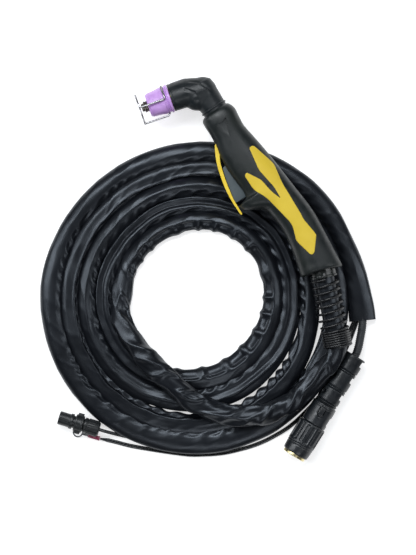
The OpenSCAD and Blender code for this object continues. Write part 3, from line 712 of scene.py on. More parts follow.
def sleeve_sections(run, line, inset=0.0):
    """The sleeve's oval at each ring: puckered inside the bends, creased along some turns, folded where it crosses.

    s is the length from the handle. strand counts the coil's turns, 0 the outermost and 4 the innermost.
    lean is the angle round the oval from its top towards the coil's middle, in degrees.
    """
    q = sleeve_angles
    s = run[:, None]
    left = run[-1] - s
    strand = ((around_coil - 90) / 360)[-len(run) :, None]
    # Where each part of the sleeve is, from 0 to 1
    in_strain = 1 - smooth(60, 100, s)
    tail = smooth(70, 110, s) * (1 - smooth(400, 470, s))
    coiled = smooth(400, 470, s)
    thin = (0.5 - 0.5 * np.cos(math.pi * strand)) * coiled * smooth(3.6, 3.3, strand)
    innermost = smooth(3.15, 3.5, strand) * coiled
    outermost = coiled * smooth(0.6, 0.45, strand) * smooth(-0.22, -0.1, strand)
    flat_end = 1 - smooth(0, 85, left)
    spread_out = coiled * bump_at((360 * strand + 90 - 285 + 180) % 360 - 180, 62)
    beside_tail = coiled * bump_at(strand - 0.69, 0.08)
    # Half width and half height of the oval
    a = SLEEVE_HALF_W + 2.2 * beside_tail + 1.2 * outermost + 0.5 * uneven(field(s / 60, 0, 3.3)) * (1 - in_strain)
    a = a + 0.3 * innermost + 2.5 * spread_out + 0.9 * tail
    b = SLEEVE_HALF_H + 1.9 - 1.9 * thin + 0.3 * uneven(field(s / 80, 2, 1)) + 1.0 * tail - 0.9 * spread_out
    a = a + (10.6 - a) * in_strain + 2.9 * flat_end
    b = b + (10.2 - b) * in_strain - 2.9 * flat_end
    c, d = np.cos(q)[None, :], np.sin(q)[None, :]
    x, y = a * c, b * np.sign(d) * np.abs(d) ** 0.94
    lean = np.degrees(np.arctan2(c, d + 0 * s))
    # Puckers: ridges between dents, on the side towards the coil's middle
    jitter = (10 - 4 * innermost) * uneven(field(s / 43, 7.1, 0)) + 0.12 * (1 - innermost) * (lean - 50)
    pitch = 16.5 + 4.5 * thin + 8.5 * innermost
    phase = np.cumsum(np.gradient(run) / pitch[:, 0])[:, None] + jitter / 14
    ridge = np.abs(np.cos(math.pi * phase)) ** (3 + 4 * innermost)
    strength = (0.62 + 0.9 * uneven(field(s / 62, 0, 1.7))).clip(0.08, 1.25)
    strength = strength + (1.05 - strength) * innermost
    start = 16 + 6 * thin - 22 * innermost + 9 * uneven(field(s / 30, 5.5, 0)) * (1 - innermost)
    on_inside = smooth(start, start + 26 - 10 * innermost, lean) * smooth(150, 105, lean)
    on_inside = on_inside * (1 - 0.45 * innermost * smooth(60, 90, lean))
    depth = (2.3 - 0.5 * thin + 0.3 * innermost) * strength
    press = -depth * (1 - ridge) * on_inside + 0.35 * ridge * on_inside
    # Creases that run along the sleeve
    wander = 9 * uneven(field(s / 48, 1.2, 0)) + 5 * uneven(field(s / 17, 4.2, 0))
    beyond = lean - 36 + 35 * (strand - 1).clip(-0.3, 2.3) - wander
    crest = thin * (1.9 * bump_at(beyond, 7) - 2.8 * bump_at(beyond - 27, 18) - 0.7 * bump_at(beyond + 32, 20))
    edge_line = (1 - thin) * coiled * (1 - outermost) * 0.4 * bump_at(lean + 2 - wander, 11)
    swell = (0.22 - 0.12 * innermost) * uneven(field(s / 26, c * 1.1, d * 1.1 + 9))
    hand = (press + crest + edge_line) * (1 - 0.8 * tail) + folds_of(s, c, d, tail) + swell
    free = (1 - in_strain) * (1 - 0.92 * flat_end)
    x = x + 2.4 * beside_tail - 1.5 * outermost
    out = hand * free + 0.22 * uneven(field(s / 9, c, d)) * in_strain - inset
    size = np.sqrt(x * x + y * y)
    grow = np.minimum(1 + out / size, (SLEEVE_FURTHEST - inset) / size)
    floor_limit = FLOOR_Z + 0.15 + inset - line[:, 2:3]
    return np.stack([x * grow, np.maximum(y * grow, floor_limit)], -1)


sleeve = swept("lead_sleeve", sleeve_line, sleeve_sections, sleeve_skin, closed_ends=False)
sleeve.data.polygons.foreach_set("use_smooth", [True] * len(sleeve.data.polygons))
sleeve.data.set_sharp_from_angle(angle=math.pi)


def sleeve_hem(rings=12):
    """The cut end's thickness: the last rings again, folded back inside the sleeve."""
    run = run_along(sleeve_line)
    outer, inner = (rings_along(sleeve_line, sleeve_sections(run, sleeve_line, k))[-rings:] for k in (0.03, SKIN))
    loop = np.vstack([outer, inner[::-1], outer[:1]])
    return as_object("lead_sleeve_hem", at(loop.reshape(-1, 3)), grid_faces(len(loop), loop.shape[1]), sleeve_skin)


hem = sleeve_hem()


# ---- Bare lead, pilot wire and control cable ----
def route(points, step):
    return evenly(through(points, 10), step)


FEED = [(-276, -19.6, -28.6), (-286, -15.2, -28.8)]
bare_line = route(FEED + [(-297.5, -9.5, -28.6), (-305, -3.6, -27.4), (-311.5, 2.8, -25), (-317.5, 8.8, -22.6),
                          (-322, 14.4, -21.2), (-324, 18.2, -21), (-329.1, 29, -21)], 0.55)


def bare_section(run, line):
    q = np.arange(28) * 2 * math.pi / 28
    r = 4.5 - 0.22 + 0.2 * np.sin(2 * math.pi * (run[:, None] / 2.3) + q[None, :] * 1.0)
    return np.stack([r * np.cos(q), r * np.sin(q)], -1)


bare = swept("bare_lead_jacket", bare_line, bare_section, hose_black)



def on_table(points, z):
    return [(x, y, z) for x, y in points]


pilot_flat = [
    (-308, 13), (-318, 29), (-328, 46), (-336.5, 63.5), (-342.5, 81), (-346.5, 98), (-348.8, 111), (-349.5, 125),
    (-348, 145), (-344.8, 161), (-340, 176), (-335.5, 188), (-330, 199), (-323.5, 210), (-316, 221.5), (-303, 237),
    (-289.5, 252), (-275, 267.5), (-263, 278.5),
]
pilot_line = route([(-290, -8.5, -30), (-297, -1.5, -31), (-302, 5, -32.6)] + on_table(pilot_flat, FLOOR_Z + 1.2)
                   + [(-255.5, 285.5, FLOOR_Z + 1.9), (-250.2, 291, FLOOR_Z + 2.4)], 2.0)


def twin_section(run, line):
    """Two round conductors side by side with a thin web between."""
    q = np.arange(28) * 2 * math.pi / 28
    x = 2.2 * np.cos(q)
    core = np.sqrt(np.clip(1.1**2 - (np.abs(x) - 1.1) ** 2, 0, None))
    y = np.sign(np.sin(q)) * np.maximum(core, 0.28 * (np.abs(x) < 1.1))
    taper = 1 - 0.45 * smooth(9, 0, run[-1] - run)[:, None]
    return np.stack([x * taper, np.broadcast_to(y, (len(run), 28))], -1)


pilot = swept("pilot_twin_wire", pilot_line, twin_section, wire_black)

CONTROL_R = 1.8
control_flat = [
    (-303, 14), (-313, 31), (-322, 48), (-330, 65.5), (-335.8, 83), (-339, 98), (-340.6, 111), (-341, 125.5),
    (-339.5, 144), (-336.5, 158.5), (-331.5, 173.5), (-324, 193), (-314, 210), (-303, 225.5), (-290, 240.5),
    (-277, 254), (-268, 262.5),
]
control_line = route([(-288.5, -12, -31), (-292, -4, -32.4), (-296.5, 3.5, -33.8)]
                     + on_table(control_flat, FLOOR_Z + 1.85)
                     + [(-260, 270, -33.4), (-253, 276.2, -30.4), (-247, 281.4, -27.4), (-239.2, 287.9, -26.5)], 2.0)


def cable_section(run, line):
    q = np.arange(16) * 2 * math.pi / 16
    one = np.stack([CONTROL_R * np.cos(q), CONTROL_R * np.sin(q)], -1)
    return np.broadcast_to(one, (len(run), 16, 2))


control = swept("control_cable_jacket", control_line, cable_section, wire_black)


finish_piece(sleeve, "torch", "sleeve_fabric", "lead_coil", "lead_tail", "lead_outlet", "sleeve_in_spring")
finish_piece(hem, "torch", "sleeve_fabric")
finish_piece(bare, "torch", "hose_rubber", "bare_lead")
finish_piece(pilot, "torch", "wire_pvc", "pilot_wire")
finish_piece(control, "torch", "wire_pvc", "control_cable")
tuple(at(sleeve_line[0]))
at(sleeve_line[::6]).tolist() + [at(sleeve_line[-1]).tolist()]
tuple(at(bare_line[0]))
at(bare_line[::4]).tolist() + [at(bare_line[-1]).tolist()]
tuple(at(pilot_line[0]))
at(pilot_line).tolist()
tuple(at(control_line[0]))
at(control_line).tolist()

# ---- Handle shells ----
# Distance back, centre, tilt, half height and half thickness, as the shells are laid out
handle_sections = [
    [28.7, 0, 0, 14.3, 14.3], [31.5, 0.6, 0, 17.2, 16.5], [38, 0.1, 0, 18.5, 17.6],
    [48, 0.7, 0, 17.9, 17.4], [58, 1.6, 0, 18.1, 17.2], [72, 2.3, 0, 20.8, 17.4],
    [86, 2, 0, 22.5, 17.8], [104, 0.9, 0, 23.4, 18.2], [121, 1, 0, 25, 18.5],
    [126, 4.8, 0, 29.3, 18.5], [133, 3.4, 0, 28.4, 18.5], [143, -5.7, 0, 20.2, 18],
    [154, -8, 0, 19, 17.6], [171, -9.1, 0, 18.9, 17.6], [188, -7.6, 3, 19.4, 18],
    [204, -5.2, 8, 20.2, 18.8], [218, -2.8, 14, 21.4, 19.3], [228.6, -1.2, 17.5, 22.3, 19.5],
    [231, -0.5, 17.5, 20.6, 18],
]
SHELL_POWER = 2.4
WALL = 2.5
handle_dense = through(handle_sections, 30)
handle_steps = evenly(handle_dense, 0.85)
pivot = np.array([-61.5, 15.5])
screw_places = [(-66, -13.5), (-70, 9.5), (-140, -20.5), (-217, -15), (-214, 10)]
insert_outline = [
    (-80.8, -7.4), (-80.7, -11.5), (-82.5, -13.1), (-105.8, -19.5), (-110, -20), (-129.5, -16.3), (-168, -14.8),
    (-173.4, -14), (-193, -16.3), (-195, -16), (-209, -4.4), (-209.4, -0.8), (-207.3, 0.4), (-188.6, 4.6),
    (-171.7, -1.4), (-134, 5.8), (-122, 11.7), (-117.4, 12.6), (-102.6, 12.4), (-100.7, 9), (-116, 0.1),
    (-131, -1.7), (-143, -6), (-129.4, -6.8), (-106, -3.2),
]


def section_at(back):
    return [np.interp(back, handle_dense[:, 0], handle_dense[:, k]) for k in (1, 2, 3, 4)]


def shell_height(x, y):
    """How high the shell's skin stands over a place in the handle's middle plane."""
    back = -x
    for _ in range(5):
        middle, tilt, half_h, half_t = section_at(back)
        away = (y - middle) / np.cos(np.radians(tilt))
        back = away * np.sin(np.radians(tilt)) - x
    share = np.clip(np.abs(away / half_h), 0, 0.998)
    return half_t * (1 - share**SHELL_POWER) ** (1 / SHELL_POWER)


def to_segment(x, y, a, b):
    """Distance to a segment, and how far along it, from 0 to 1."""
    a, b = np.asarray(a, float), np.asarray(b, float)
    d = b - a
    t = np.clip(((x - a[0]) * d[0] + (y - a[1]) * d[1]) / d.dot(d), 0, 1)
    return np.hypot(x - a[0] - t * d[0], y - a[1] - t * d[1]), t


def to_outline(x, y, outline):
    best = np.full(np.shape(x), 1e9)
    for a, b in zip(outline, np.roll(outline, -1, axis=0)):
        best = np.minimum(best, to_segment(x, y, a, b)[0])
    return best


def inside(x, y, outline):
    odd = np.zeros(np.shape(x), bool)
    for (ax, ay), (bx, by) in zip(outline, np.roll(outline, -1, axis=0)):
        crosses = (ay > y) != (by > y)
        odd ^= crosses & (x < (bx - ax) * (y - ay) / (by - ay + 1e-12) + ax)
    return odd


drop_outline = rounded([(-41.0, -4.6), (-43.6, 2.6), (-42.2, 9.6), (-48, 8.8), (-60.3, 3.2), (-50.5, -0.8)],
                       [0.5, 6, 0.5, 3, 0.6, 3], 5, True)


def pressed_in(x, y, z):
    """How deep the skin is pressed in, for the trigger's flat and the horn's crease."""
    on_face = smooth(2, 6, np.abs(z))
    flat = 1.8 * smooth(-125.4, -123.8, x) * smooth(-96, -118, x) * smooth(9, 19, y)
    crest = -0.6 * bump_at(x + 126.3, 1.1) * smooth(9, 16, y)
    return (flat + crest) * on_face


def loft(name, steps, angles, inset, press=None):
    """The handle's solid through its sections, drawn in by the inset; the outer one has a seam and a pressed skin."""
    q = np.asarray(angles)
    s, c = np.sin(q), np.cos(q)
    by = np.sign(s) * np.abs(s) ** (2 / SHELL_POWER)
    bz = np.sign(c) * np.abs(c) ** (2 / SHELL_POWER)
    back, middle, tilt, half_h, half_t = [steps[:, k : k + 1] for k in range(5)]
    tilt = np.radians(tilt)
    half_h, half_t = half_h - inset, half_t - inset
    across, z = half_h * by, half_t * bz
    if press:
        across = across - np.sign(by) * 0.4 * bump_at(z, 0.3)
    x, y = -back + across * np.sin(tilt), middle + across * np.cos(tilt)
    if press:
        x = x + 3.0 * smooth(217, 231, back) * np.abs(bz) ** 1.7
        pull = press(x, y, z) / np.sqrt((by * half_t) ** 2 + (bz * half_h) ** 2)
        z = z - pull * bz * half_h
        y = y - pull * by * half_t
    points = np.stack([x, y, z], -1).reshape(-1, 3)
    return as_object(name, at(points), tube_faces(len(steps), len(q)), handle_grey)


INLAY_STEP = 1.5


def offset_outline(outline, out):
    """The closed outline moved outwards along its own normals."""
    ahead = unit(np.roll(outline, -1, axis=0) - np.roll(outline, 1, axis=0))
    side = np.column_stack([ahead[:, 1], -ahead[:, 0]])
    return outline + side * out


def inlay(name, outline, side, proud, edge, sunk, material, hole=None):
    """A skin that follows the shell, filled inside its outline, with rounded edges and a skirt into the shell.

    edge gives the insets of its border lines, sunk the skirt's depth, and hole an outline that stays open.
    """
    borders = [offset_outline(outline, -inset) for inset in edge] + ([hole] if hole is not None else [])
    points, lines = [], []
    for border in borders:
        start, n = len(points), len(border)
        points += [Vector(p) for p in border]
        lines += [(start + i, start + (i + 1) % n) for i in range(n)]
    if hole is None:
        low, high = outline.min(axis=0), outline.max(axis=0)
        xs, ys = np.meshgrid(*(np.arange(low[k], high[k], INLAY_STEP) for k in (0, 1)))
        xs, ys = xs.ravel(), ys.ravel()
        keep = inside(xs, ys, outline) & (to_outline(xs, ys, outline) > edge[-1] + 0.7)
        points += [Vector(p) for p in zip(xs[keep], ys[keep])]
    flat, _, faces, _, _, _ = delaunay_2d_cdt(points, lines, [], 1, 1e-5)
    xy = np.array([tuple(p) for p in flat])
    if hole is not None:
        faces = [f for f in faces if not inside(*xy[list(f)].mean(axis=0), hole)]
    depth = to_outline(xy[:, 0], xy[:, 1], outline)
    if hole is not None:
        depth = np.minimum(depth, to_outline(xy[:, 0], xy[:, 1], hole))
    rise = proud * np.sqrt(1 - (1 - np.clip(depth / edge[-1], 0, 1)) ** 2) if edge[-1] else proud
    z = shell_height(xy[:, 0], xy[:, 1]) + rise
    count = len(xy)
    down = sunk(xy[:, 0], xy[:, 1]) if callable(sunk) else sunk
    top = np.column_stack([xy, z * side])
    bottom = np.column_stack([xy, (z - rise - down) * side])
    used = dict.fromkeys((a, b) for f in faces for a, b in zip(f, list(f[1:]) + [f[0]]))
    rim = [(a, b) for a, b in used if (b, a) not in used]
    skirts = [(a, b, b + count, a + count) for a, b in rim]
    under = [tuple(i + count for i in reversed(f)) for f in faces]
    return as_object(name, at(np.vstack([top, bottom])), [tuple(f) for f in faces] + skirts + under, material)


# Round the handle evenly, with closer points at the seam on each side
seam_middles = (math.pi / 2, 1.5 * math.pi)
near_seam = np.radians([-3.2, -1.9, -0.9, -0.4, 0, 0.4, 0.9, 1.9, 3.2])
even_angles = np.arange(88) * 2 * math.pi / 88
angles = [q for q in even_angles if min(abs(q - m) for m in seam_middles) > math.radians(4.3)]
angles = sorted(angles + [q for m in seam_middles for q in m + near_seam])
handle = loft("handle", handle_steps, angles, 0, pressed_in)
hollow_part = handle_dense[(handle_dense[:, 0] > 40) & (handle_dense[:, 0] < 229)]
cavity = loft("cavity", evenly(hollow_part, 4), np.arange(40) * math.pi / 20, WALL)
cut_away(cavity, *[rod("boss", (x, y, -30), (x, y, 30), 3.6) for x, y in screw_places])
cut_away(
    handle,
    cavity,
    box_part("slot", Line([-98.5, 47, 0], 0), (-7, -31.2, -42.5), (7, 40, 42.5)),
    rod("hub_room", (*pivot, -7), (*pivot, 7), 4.6),
    rod("neck_bore", (-45, 0, 0), (0, 0, 0), 13.35, 96),
    rod("bush_bore", REAR.origin - 9 * REAR.z, REAR.origin + 20 * REAR.z, 13.65, 96),
)
half_low = box_part("half", Line([-130, 0, 0], 0), (-60, -90, -200), (0.04, 90, 200))
half_high = box_part("half", Line([-130, 0, 0], 0), (-0.04, -90, -200), (60, 90, 200))


def drop_depth(x, y):
    """The emboss is deepest at its wide end and its lower edge."""
    return (0.35 + 1.9 * smooth(8.5, -2, y)) * (0.45 + 0.55 * smooth(-60, -46, x))


for side in (1, -1):
    cut_away(handle, inlay("emboss", drop_outline, side, 4, [0], drop_depth, None))
handle_right = handle.copy()
handle_right.data = handle.data.copy()
bpy.context.scene.collection.objects.link(handle_right)
handle_left = cut_away(handle, half_low)
SCREW_SEAT, SCREW_HEAD_R = -9.5, 2.8
wells = [rod("screw_well", (x, y, -40), (x, y, SCREW_SEAT), SCREW_HEAD_R + 0.2) for x, y in screw_places]
cut_away(handle_right, half_high, *wells)
for shell, name, node in ((handle_left, "handle_shell_upper", "handle_shell_left"),
                          (handle_right, "handle_shell_lower", "handle_shell_right")):
    shell.name = name
    smoothed(shell, 36)
    finish_piece(shell, "torch", "handle_plastic", node)


insert_corners = [1.6, 1.6, 2.5, 4, 4, 6, 3, 3, 3, 3, 3, 2, 2, 3, 6, 6, 3, 3, 2.2, 2.2, 4, 5, 1.2, 5, 3]
smooth_outline = rounded(insert_outline, insert_corners, 6, closed=True)
smooth_outline = evenly(np.vstack([smooth_outline, smooth_outline[:1]]), 0.9)[:-1]
ahead_outline = np.roll(smooth_outline, -1, axis=0)
if np.sum(smooth_outline[:, 0] * ahead_outline[:, 1] - smooth_outline[:, 1] * ahead_outline[:, 0]) < 0:
    smooth_outline = smooth_outline[::-1]


# Painted shadow: a thin dark strip round each yellow insert stands in for the shade in the groove between insert and
# shell
painted_groove_shadow = moulded("seam_shadow", (0.006, 0.008, 0.009), 0.6, (0.008, 0.01, 0.011), 900, 0.01)
for side, word in ((1, "upper"), (-1, "lower")):
    node = "insert_left" if side > 0 else "insert_right"
    grip = inlay(f"grip_inlay_{word}", smooth_outline, side, 0.5, [0, 0.12, 0.35, 0.7, 1.1], 1.0, grip_yellow)
    finish_piece(grip, "torch", "yellow_grip", node)
    # The painted groove shadow: a dark strip just outside the insert's border
    seam = inlay(f"grip_seam_{word}", offset_outline(smooth_outline, 0.5), side, 0.07, [0, 0.2], 0.8, painted_groove_shadow,
                 offset_outline(smooth_outline, -0.2))
    finish_piece(seam, "torch", "handle_plastic")

# The shell screws, their cross slots cut in one that is then set at each place
upright = Line(-CROSSING, 0)
upright.z, upright.x, upright.y = np.array([0.0, 0.0, -1.0]), np.array([1.0, 0.0, 0.0]), np.array([0.0, -1.0, 0.0])
screw_item = turned("screw_item", upright, [
    (0, 0), (SCREW_HEAD_R, 0), (SCREW_HEAD_R, 0.9), (2.3, 1.6), (1.2, 1.8), (0, 1.8)], None, 0.3, 32)
for half_slot in (np.array([2.0, 0, 0]), np.array([0, 2.0, 0])):
    slot_middle = np.array([0, 0, -2.1]) - CROSSING
    cut_away(screw_item, rod("cut", slot_middle - half_slot, slot_middle + half_slot, 0.75, 4))
screw_points = [(x, y, SCREW_SEAT) for x, y in screw_places]
screw_heads = copies_on_points("shell_screw_heads", screw_item, screw_points, screw_steel, 3)
finish_piece(screw_heads, "torch", "screw_steel", "shell_screws")

# ---- Trigger ----
lever_line = [
    (-57.6, 17.2), (-58.4, 20.6), (-66, 24.8), (-73.7, 28.6), (-84.3, 32.2), (-102.7, 36.5), (-118.6, 37.9),
    (-133.6, 37.6), (-134.9, 36.6), (-133.6, 35.7), (-127.7, 35.6), (-116.6, 35.2), (-94.5, 31), (-83, 27.6),
    (-74, 24.6), (-66, 18.8), (-64.4, 16.3),
]
lever_corners = [1, 2, 5, 8, 10, 12, 9, 0.8, 0.8, 0.8, 4, 8, 10, 8, 5, 2, 1]
blade_line = [
    (-83, 26.8), (-94.5, 30.4), (-116.6, 35), (-121, 35.2), (-121.5, 20.4), (-99, 18.7), (-98.5, 13.9),
    (-93.5, 13.9), (-93, 18.2), (-82, 18.7),
]


def extruded(name, outline, half, material, bevel):
    """A flat outline given its thickness both ways from the middle plane, its edges rounded."""
    n = len(outline)
    points = [(*p, z) for z in (-half, half) for p in outline]
    obj = as_object(name, at(points), tube_faces(2, n), material, even_shading=False)
    return smoothed(bevelled(obj, bevel, 4), 40)


lever = extruded("trigger_lever_strip", rounded(lever_line, lever_corners, 5, True), 6, lever_yellow, 0.7)
cut_away(lever, rod("hub_gap", (*pivot, 1), (*pivot, 20), 4.4))
hub = rod("hub", (*pivot, -6), (*pivot, 1), 3.6)
hub.data.materials.append(lever_yellow)
cut_away(lever, hub, operation="UNION")
cut_away(lever, rod("pin_hole", (*pivot, -20), (*pivot, 20), 1.55))
finish_piece(smoothed(lever, 40), "trigger", "yellow_lever", "trigger_lever")
blade_outline = rounded(blade_line, [1, 6, 4, 1, 1.5, 1, 0.8, 0.8, 1, 1], 4, True)
blade = extruded("trigger_blade_body", blade_outline, 5, blade_grey, 0.5)
finish_piece(blade, "trigger", "grey_plastic", "trigger_blade")

# ---- Head ----
HEAD = Line([0, 0, 0], 76)
BARREL_END, CUP_LENGTH = 33.0, 25.0


def ball(name, centre, r):
    mesh = bpy.data.meshes.new(name)
    b = bmesh.new()
    bmesh.ops.create_icosphere(b, subdivisions=5, radius=r * MM)
    bmesh.ops.translate(b, verts=b.verts, vec=Vector(at(centre)))
    b.to_mesh(mesh)
    b.free()
    obj = bpy.data.objects.new(name, mesh)
    bpy.context.scene.collection.objects.link(obj)
    return obj


neck_profile = [(0, -4), (14.2, -4), (14.6, 2), (14.2, 12), (13.6, 22), (13.3, 30), (13.3, 39.7), (0, 39.7)]
head = turned("neck", Line([0, 0, 0], 180), neck_profile, None, 1.5, 96)
barrel_profile = [(0, 9), (13.4, 9), (14.9, 13), (15.0, 22), (14.7, 31.6), (0, 31.6)]
barrel = turned("barrel", HEAD, barrel_profile, None, 1.2, 96)
# Where the balls that round the bend stand, and their radii
head_balls = [(2.2, 12.4, 14.9), (0.8, 9.8, 14.95), (-0.8, 7.2, 15.0), (-2.3, 4.6, 15.0), (-3.4, 2.2, 15.0),
              (-4.2, 0, 15.0), (-5.5, 8.3, 15.0), (-9, 0.3, 14.6)]
cut_away(head, barrel, *[ball("corner", (x, y, 0), r) for x, y, r in head_balls], operation="UNION")
step = head.modifiers.new("even", "REMESH")
step.mode, step.voxel_size = "VOXEL", 0.55 * MM
made_plain(head)
step = head.modifiers.new("soften", "SMOOTH")
step.factor, step.iterations = 0.5, 60
made_plain(head, "head_elbow")
folds_a = [(9.5, 15.5), (4.5, 11.6), (-1.5, 7.4), (-6.5, 8.0)]
folds_b = [(11.6, 9.6), (5.4, 1.6), (1.9, -0.9), (-4.5, -3.6), (-11.4, -5.8)]


def beside_line(x, y, points):
    """Distance to a bent line, signed by the side, and how far along it, from 0 to 1."""
    best, side, along = np.full(np.shape(x), 1e9), np.zeros(np.shape(x)), np.zeros(np.shape(x))
    for k, (a, b) in enumerate(zip(points[:-1], points[1:])):
        dist, t = to_segment(x, y, a, b)
        turn = (b[0] - a[0]) * (y - a[1]) - (b[1] - a[1]) * (x - a[0])
        nearer = dist < best
        best, side = np.where(nearer, dist, best), np.where(nearer, np.sign(turn), side)
        along = np.where(nearer, (k + t) / (len(points) - 1), along)
    return best * side, along


def read_points(mesh, kind, per=3):
    flat = np.zeros(len(mesh.vertices) * per)
    mesh.vertices.foreach_get(kind, flat)
    return flat.reshape(-1, per)


co = read_points(head.data, "co") / MM - CROSSING
na = read_points(head.data, "normal")
for low_side in (1, -1):
    face = smooth(1, 6, co[:, 2] * low_side)
    for line_points, high_side, height in ((folds_a, 1, 0.75), (folds_b, -1, 0.85)):
        away, along = beside_line(co[:, 0], co[:, 1], line_points)
        away = away * high_side
        step_up = smooth(-0.3, 0.5, away) * np.exp(-np.maximum(away, 0) / 5.0)
        hollow = -0.45 * bump_at(away + 1.3, 1.5)
        ends = smooth(0, 0.15, along) * smooth(1, 0.8, along)
        co = co + na * (face * ends * (height * step_up + hollow))[:, None]
co = co + na * (0.03 * uneven(co / 2.6) + 0.08 * uneven(co / 9 + 3))[:, None]
head.data.vertices.foreach_set("co", at(co).ravel())
head.data.materials.clear()
head.data.materials.append(head_black)
smoothed(head, 180)
finish_piece(head, "torch", "head_plastic", "head_moulding")
rim_profile = [(7.1, 30), (14.3, 30), (14.65, 31.4), (14.6, 32.6), (14.2, 33), (7.1, 33)]
finish_piece(turned("head_rim", HEAD, rim_profile, head_black, 0.3, 96), "torch", "head_plastic")
lip_profile = [(12.5, 0), (14.0, 0.15), (14.5, 0.9), (14.4, 1.8), (13.2, 2.3), (12.5, 2.4)]
lip = turned("head_neck_lip", Line([-24.2, 0, 0], 180), lip_profile, head_black, 0.4, 96)
finish_piece(lip, "torch", "head_plastic")

# ---- Cup, nozzle and stand-off guide ----
SEAT_END = BARREL_END + 16
NOZZLE_LONG, CUP_FRONT = HEAD_REACH - SEAT_END, BARREL_END + CUP_LENGTH - SEAT_END
GROOVE_S, GROOVE_R, CUP_L = 5.6, 13.55, CUP_LENGTH - 0.3
CUP = Line(HEAD.z * (BARREL_END + 0.3), 76)
cup = turned("shield_cup_ceramic", CUP, [
    (10.05, 0), (14.6, 0), (15.1, 0.4), (15.1, 2.3), (14.6, 2.6), (13.7, 2.8), (13.7, 3.5), (14.4, 3.7),
    (14.4, GROOVE_S - 1.3), (GROOVE_R, GROOVE_S - 1.1), (GROOVE_R, GROOVE_S + 1.1), (14.5, GROOVE_S + 1.3),
    (14.3, 9.5), (13.75, 12), (13.2, 16), (12.7, CUP_L - 2.4), (11.3, CUP_L - 0.1), (9.4, CUP_L), (7.0, CUP_L - 0.3),
    (6.9, CUP_L - 4), (8.9, CUP_L - 7), (8.9, 8.3), (10.05, 8.3)], lilac, 0.35, 96)
finish_piece(cup, "shield_cup", "lilac_ceramic", "shield_cup")
nozzle = turned("nozzle_tip", Line(HEAD.z * SEAT_END, 76), [
    (5.6, 0), (8, 0), (8, 1.5), (6, CUP_FRONT - 5), (6, CUP_FRONT - 0.5), (6.0, CUP_FRONT + 0.6),
    (5.5, CUP_FRONT + 1.0), (5.5, CUP_FRONT + 2.2), (6.0, CUP_FRONT + 2.6), (6.0, NOZZLE_LONG - 3.2),
    (5.4, NOZZLE_LONG - 2.8), (4.3, NOZZLE_LONG - 2.6), (4.2, NOZZLE_LONG - 0.5), (3.6, NOZZLE_LONG),
    (0.6, NOZZLE_LONG), (0.55, NOZZLE_LONG - 4), (4.7, NOZZLE_LONG - 6.2)], used_copper, 0.25, 64)
finish_piece(nozzle, "torch", "nozzle_copper", "nozzle")
GUIDE_WIRE, GUIDE_LEG_R = 0.92, 16.6
GUIDE_RING_R = GROOVE_R + GUIDE_WIRE + 0.1
FOOT_S = CUP_LENGTH + 9 - GROOVE_S - 0.3


def polar(r, turn_deg, s):
    """A point round the nozzle's axis; the angle runs from below towards the handle's far side."""
    q = math.radians(turn_deg)
    return (-r * math.cos(q), -r * math.sin(q), s)


def polar_arc(r, start, end, s, n):
    return [polar(r, start + (end - start) * k / n, s) for k in range(n + 1)]


def guide_leg(turn_deg):
    return [polar(GUIDE_LEG_R, turn_deg, k) for k in (1.8, 3.2, 9, 15, 21, FOOT_S - 1.6)]


# A foot, a leg up to the groove, the clip round it, the other leg down and the other foot
guide_points = (
    polar_arc(GUIDE_LEG_R, -120, -174, FOOT_S, 8) + guide_leg(180)[::-1]
    + polar_arc(GUIDE_RING_R, -176, 86, 0, 30)
    + guide_leg(90) + polar_arc(GUIDE_LEG_R, 84, -15, FOOT_S, 12)
)
guide_line = Line(HEAD.z * (BARREL_END + 0.3 + GROOVE_S), 76)
guide_path = guide_line.spot(evenly(through(guide_points, 6), 0.5))
guide = wire_along("standoff_guide_wire", guide_path, GUIDE_WIRE, guide_steel, guide_line.z)
finish_piece(guide, "standoff_guide", "bright_wire", "standoff_guide")

# ---- Rear bush and strain-relief spring ----
bush_profile = [(11.45, -4), (11.45, -8.4), (13.6, -8.4), (13.6, 3.6), (14.3, 4.0), (14.3, 5.7), (13.6, 6), (11.45, 6)]
bush = turned("rear_bush_ring", REAR, bush_profile, bush_black, 0.4, 96)
finish_piece(bush, "torch", "bush_plastic", "rear_bush")
HELIX_R = (SPRING_OD - SPRING_WIRE) / 2
turns = np.arange(0, OPEN_TURNS + CLOSED_TURNS + 0.001, 1 / 40)
rise = np.where(turns < OPEN_TURNS, turns * OPEN_PITCH, OPEN_TURNS * OPEN_PITCH + (turns - OPEN_TURNS) * CLOSED_PITCH)
rise = np.convolve(np.pad(rise, 12, "edge"), np.ones(25) / 25, "valid")
wound = 2 * math.pi * turns
helix = np.column_stack([HELIX_R * np.cos(wound), HELIX_R * np.sin(wound), rise + SPRING_OUT + SPRING_WIRE / 2])
strain = wire_along("strain_relief_coil", REAR.spot(helix), SPRING_WIRE / 2 + 0.12, spring_black, REAR.z, 10)
finish_piece(strain, "torch", "black_steel", "strain_relief_spring")

# ---- Machine connector ----
PLUG_TURN, CONNECTOR_TURN = 40, 115
CONNECTOR = Line([-324, 17.5, FLOOR_Z + 15], CONNECTOR_TURN)


def wrapped(angle, middle_deg):
    """Angle from a place round the axis, in degrees, from -180 to 180."""
    return (np.degrees(angle) - middle_deg + 180) % 360 - 180


def box_of(v, half, edge):
    return smooth(half + edge, half - edge, np.abs(v))


def boot_shape(r, angle, s):
    outer = smooth(9, 11, r)
    press = 0 * r
    for k in (19.0, 40.0, 57.6):
        press = press + 1.3 * bump_at(s - k + 1.0, 0.6) + 1.0 * bump_at(s - k - 1.4, 0.5)
    for k in (5.2, 25.0, 46.0):
        press = press + 3.0 * box_of(s - k, 2.9, 0.35) * box_of(wrapped(angle, -88), 34, 3)
    for k in (27.6, 48.6, 36.0, 56.0):
        away = np.hypot(s - k, 12.3 * np.radians(wrapped(angle, 50)))
        press = press + 4.2 * smooth(*((2.9, 2.3) if k in (27.6, 48.6) else (1.2, 0.7)), away)
        away = np.hypot(s - k, 12.3 * np.radians(wrapped(angle, 180)))
        press = press + 4.2 * smooth(3.1, 2.5, away)
    return r - press * outer


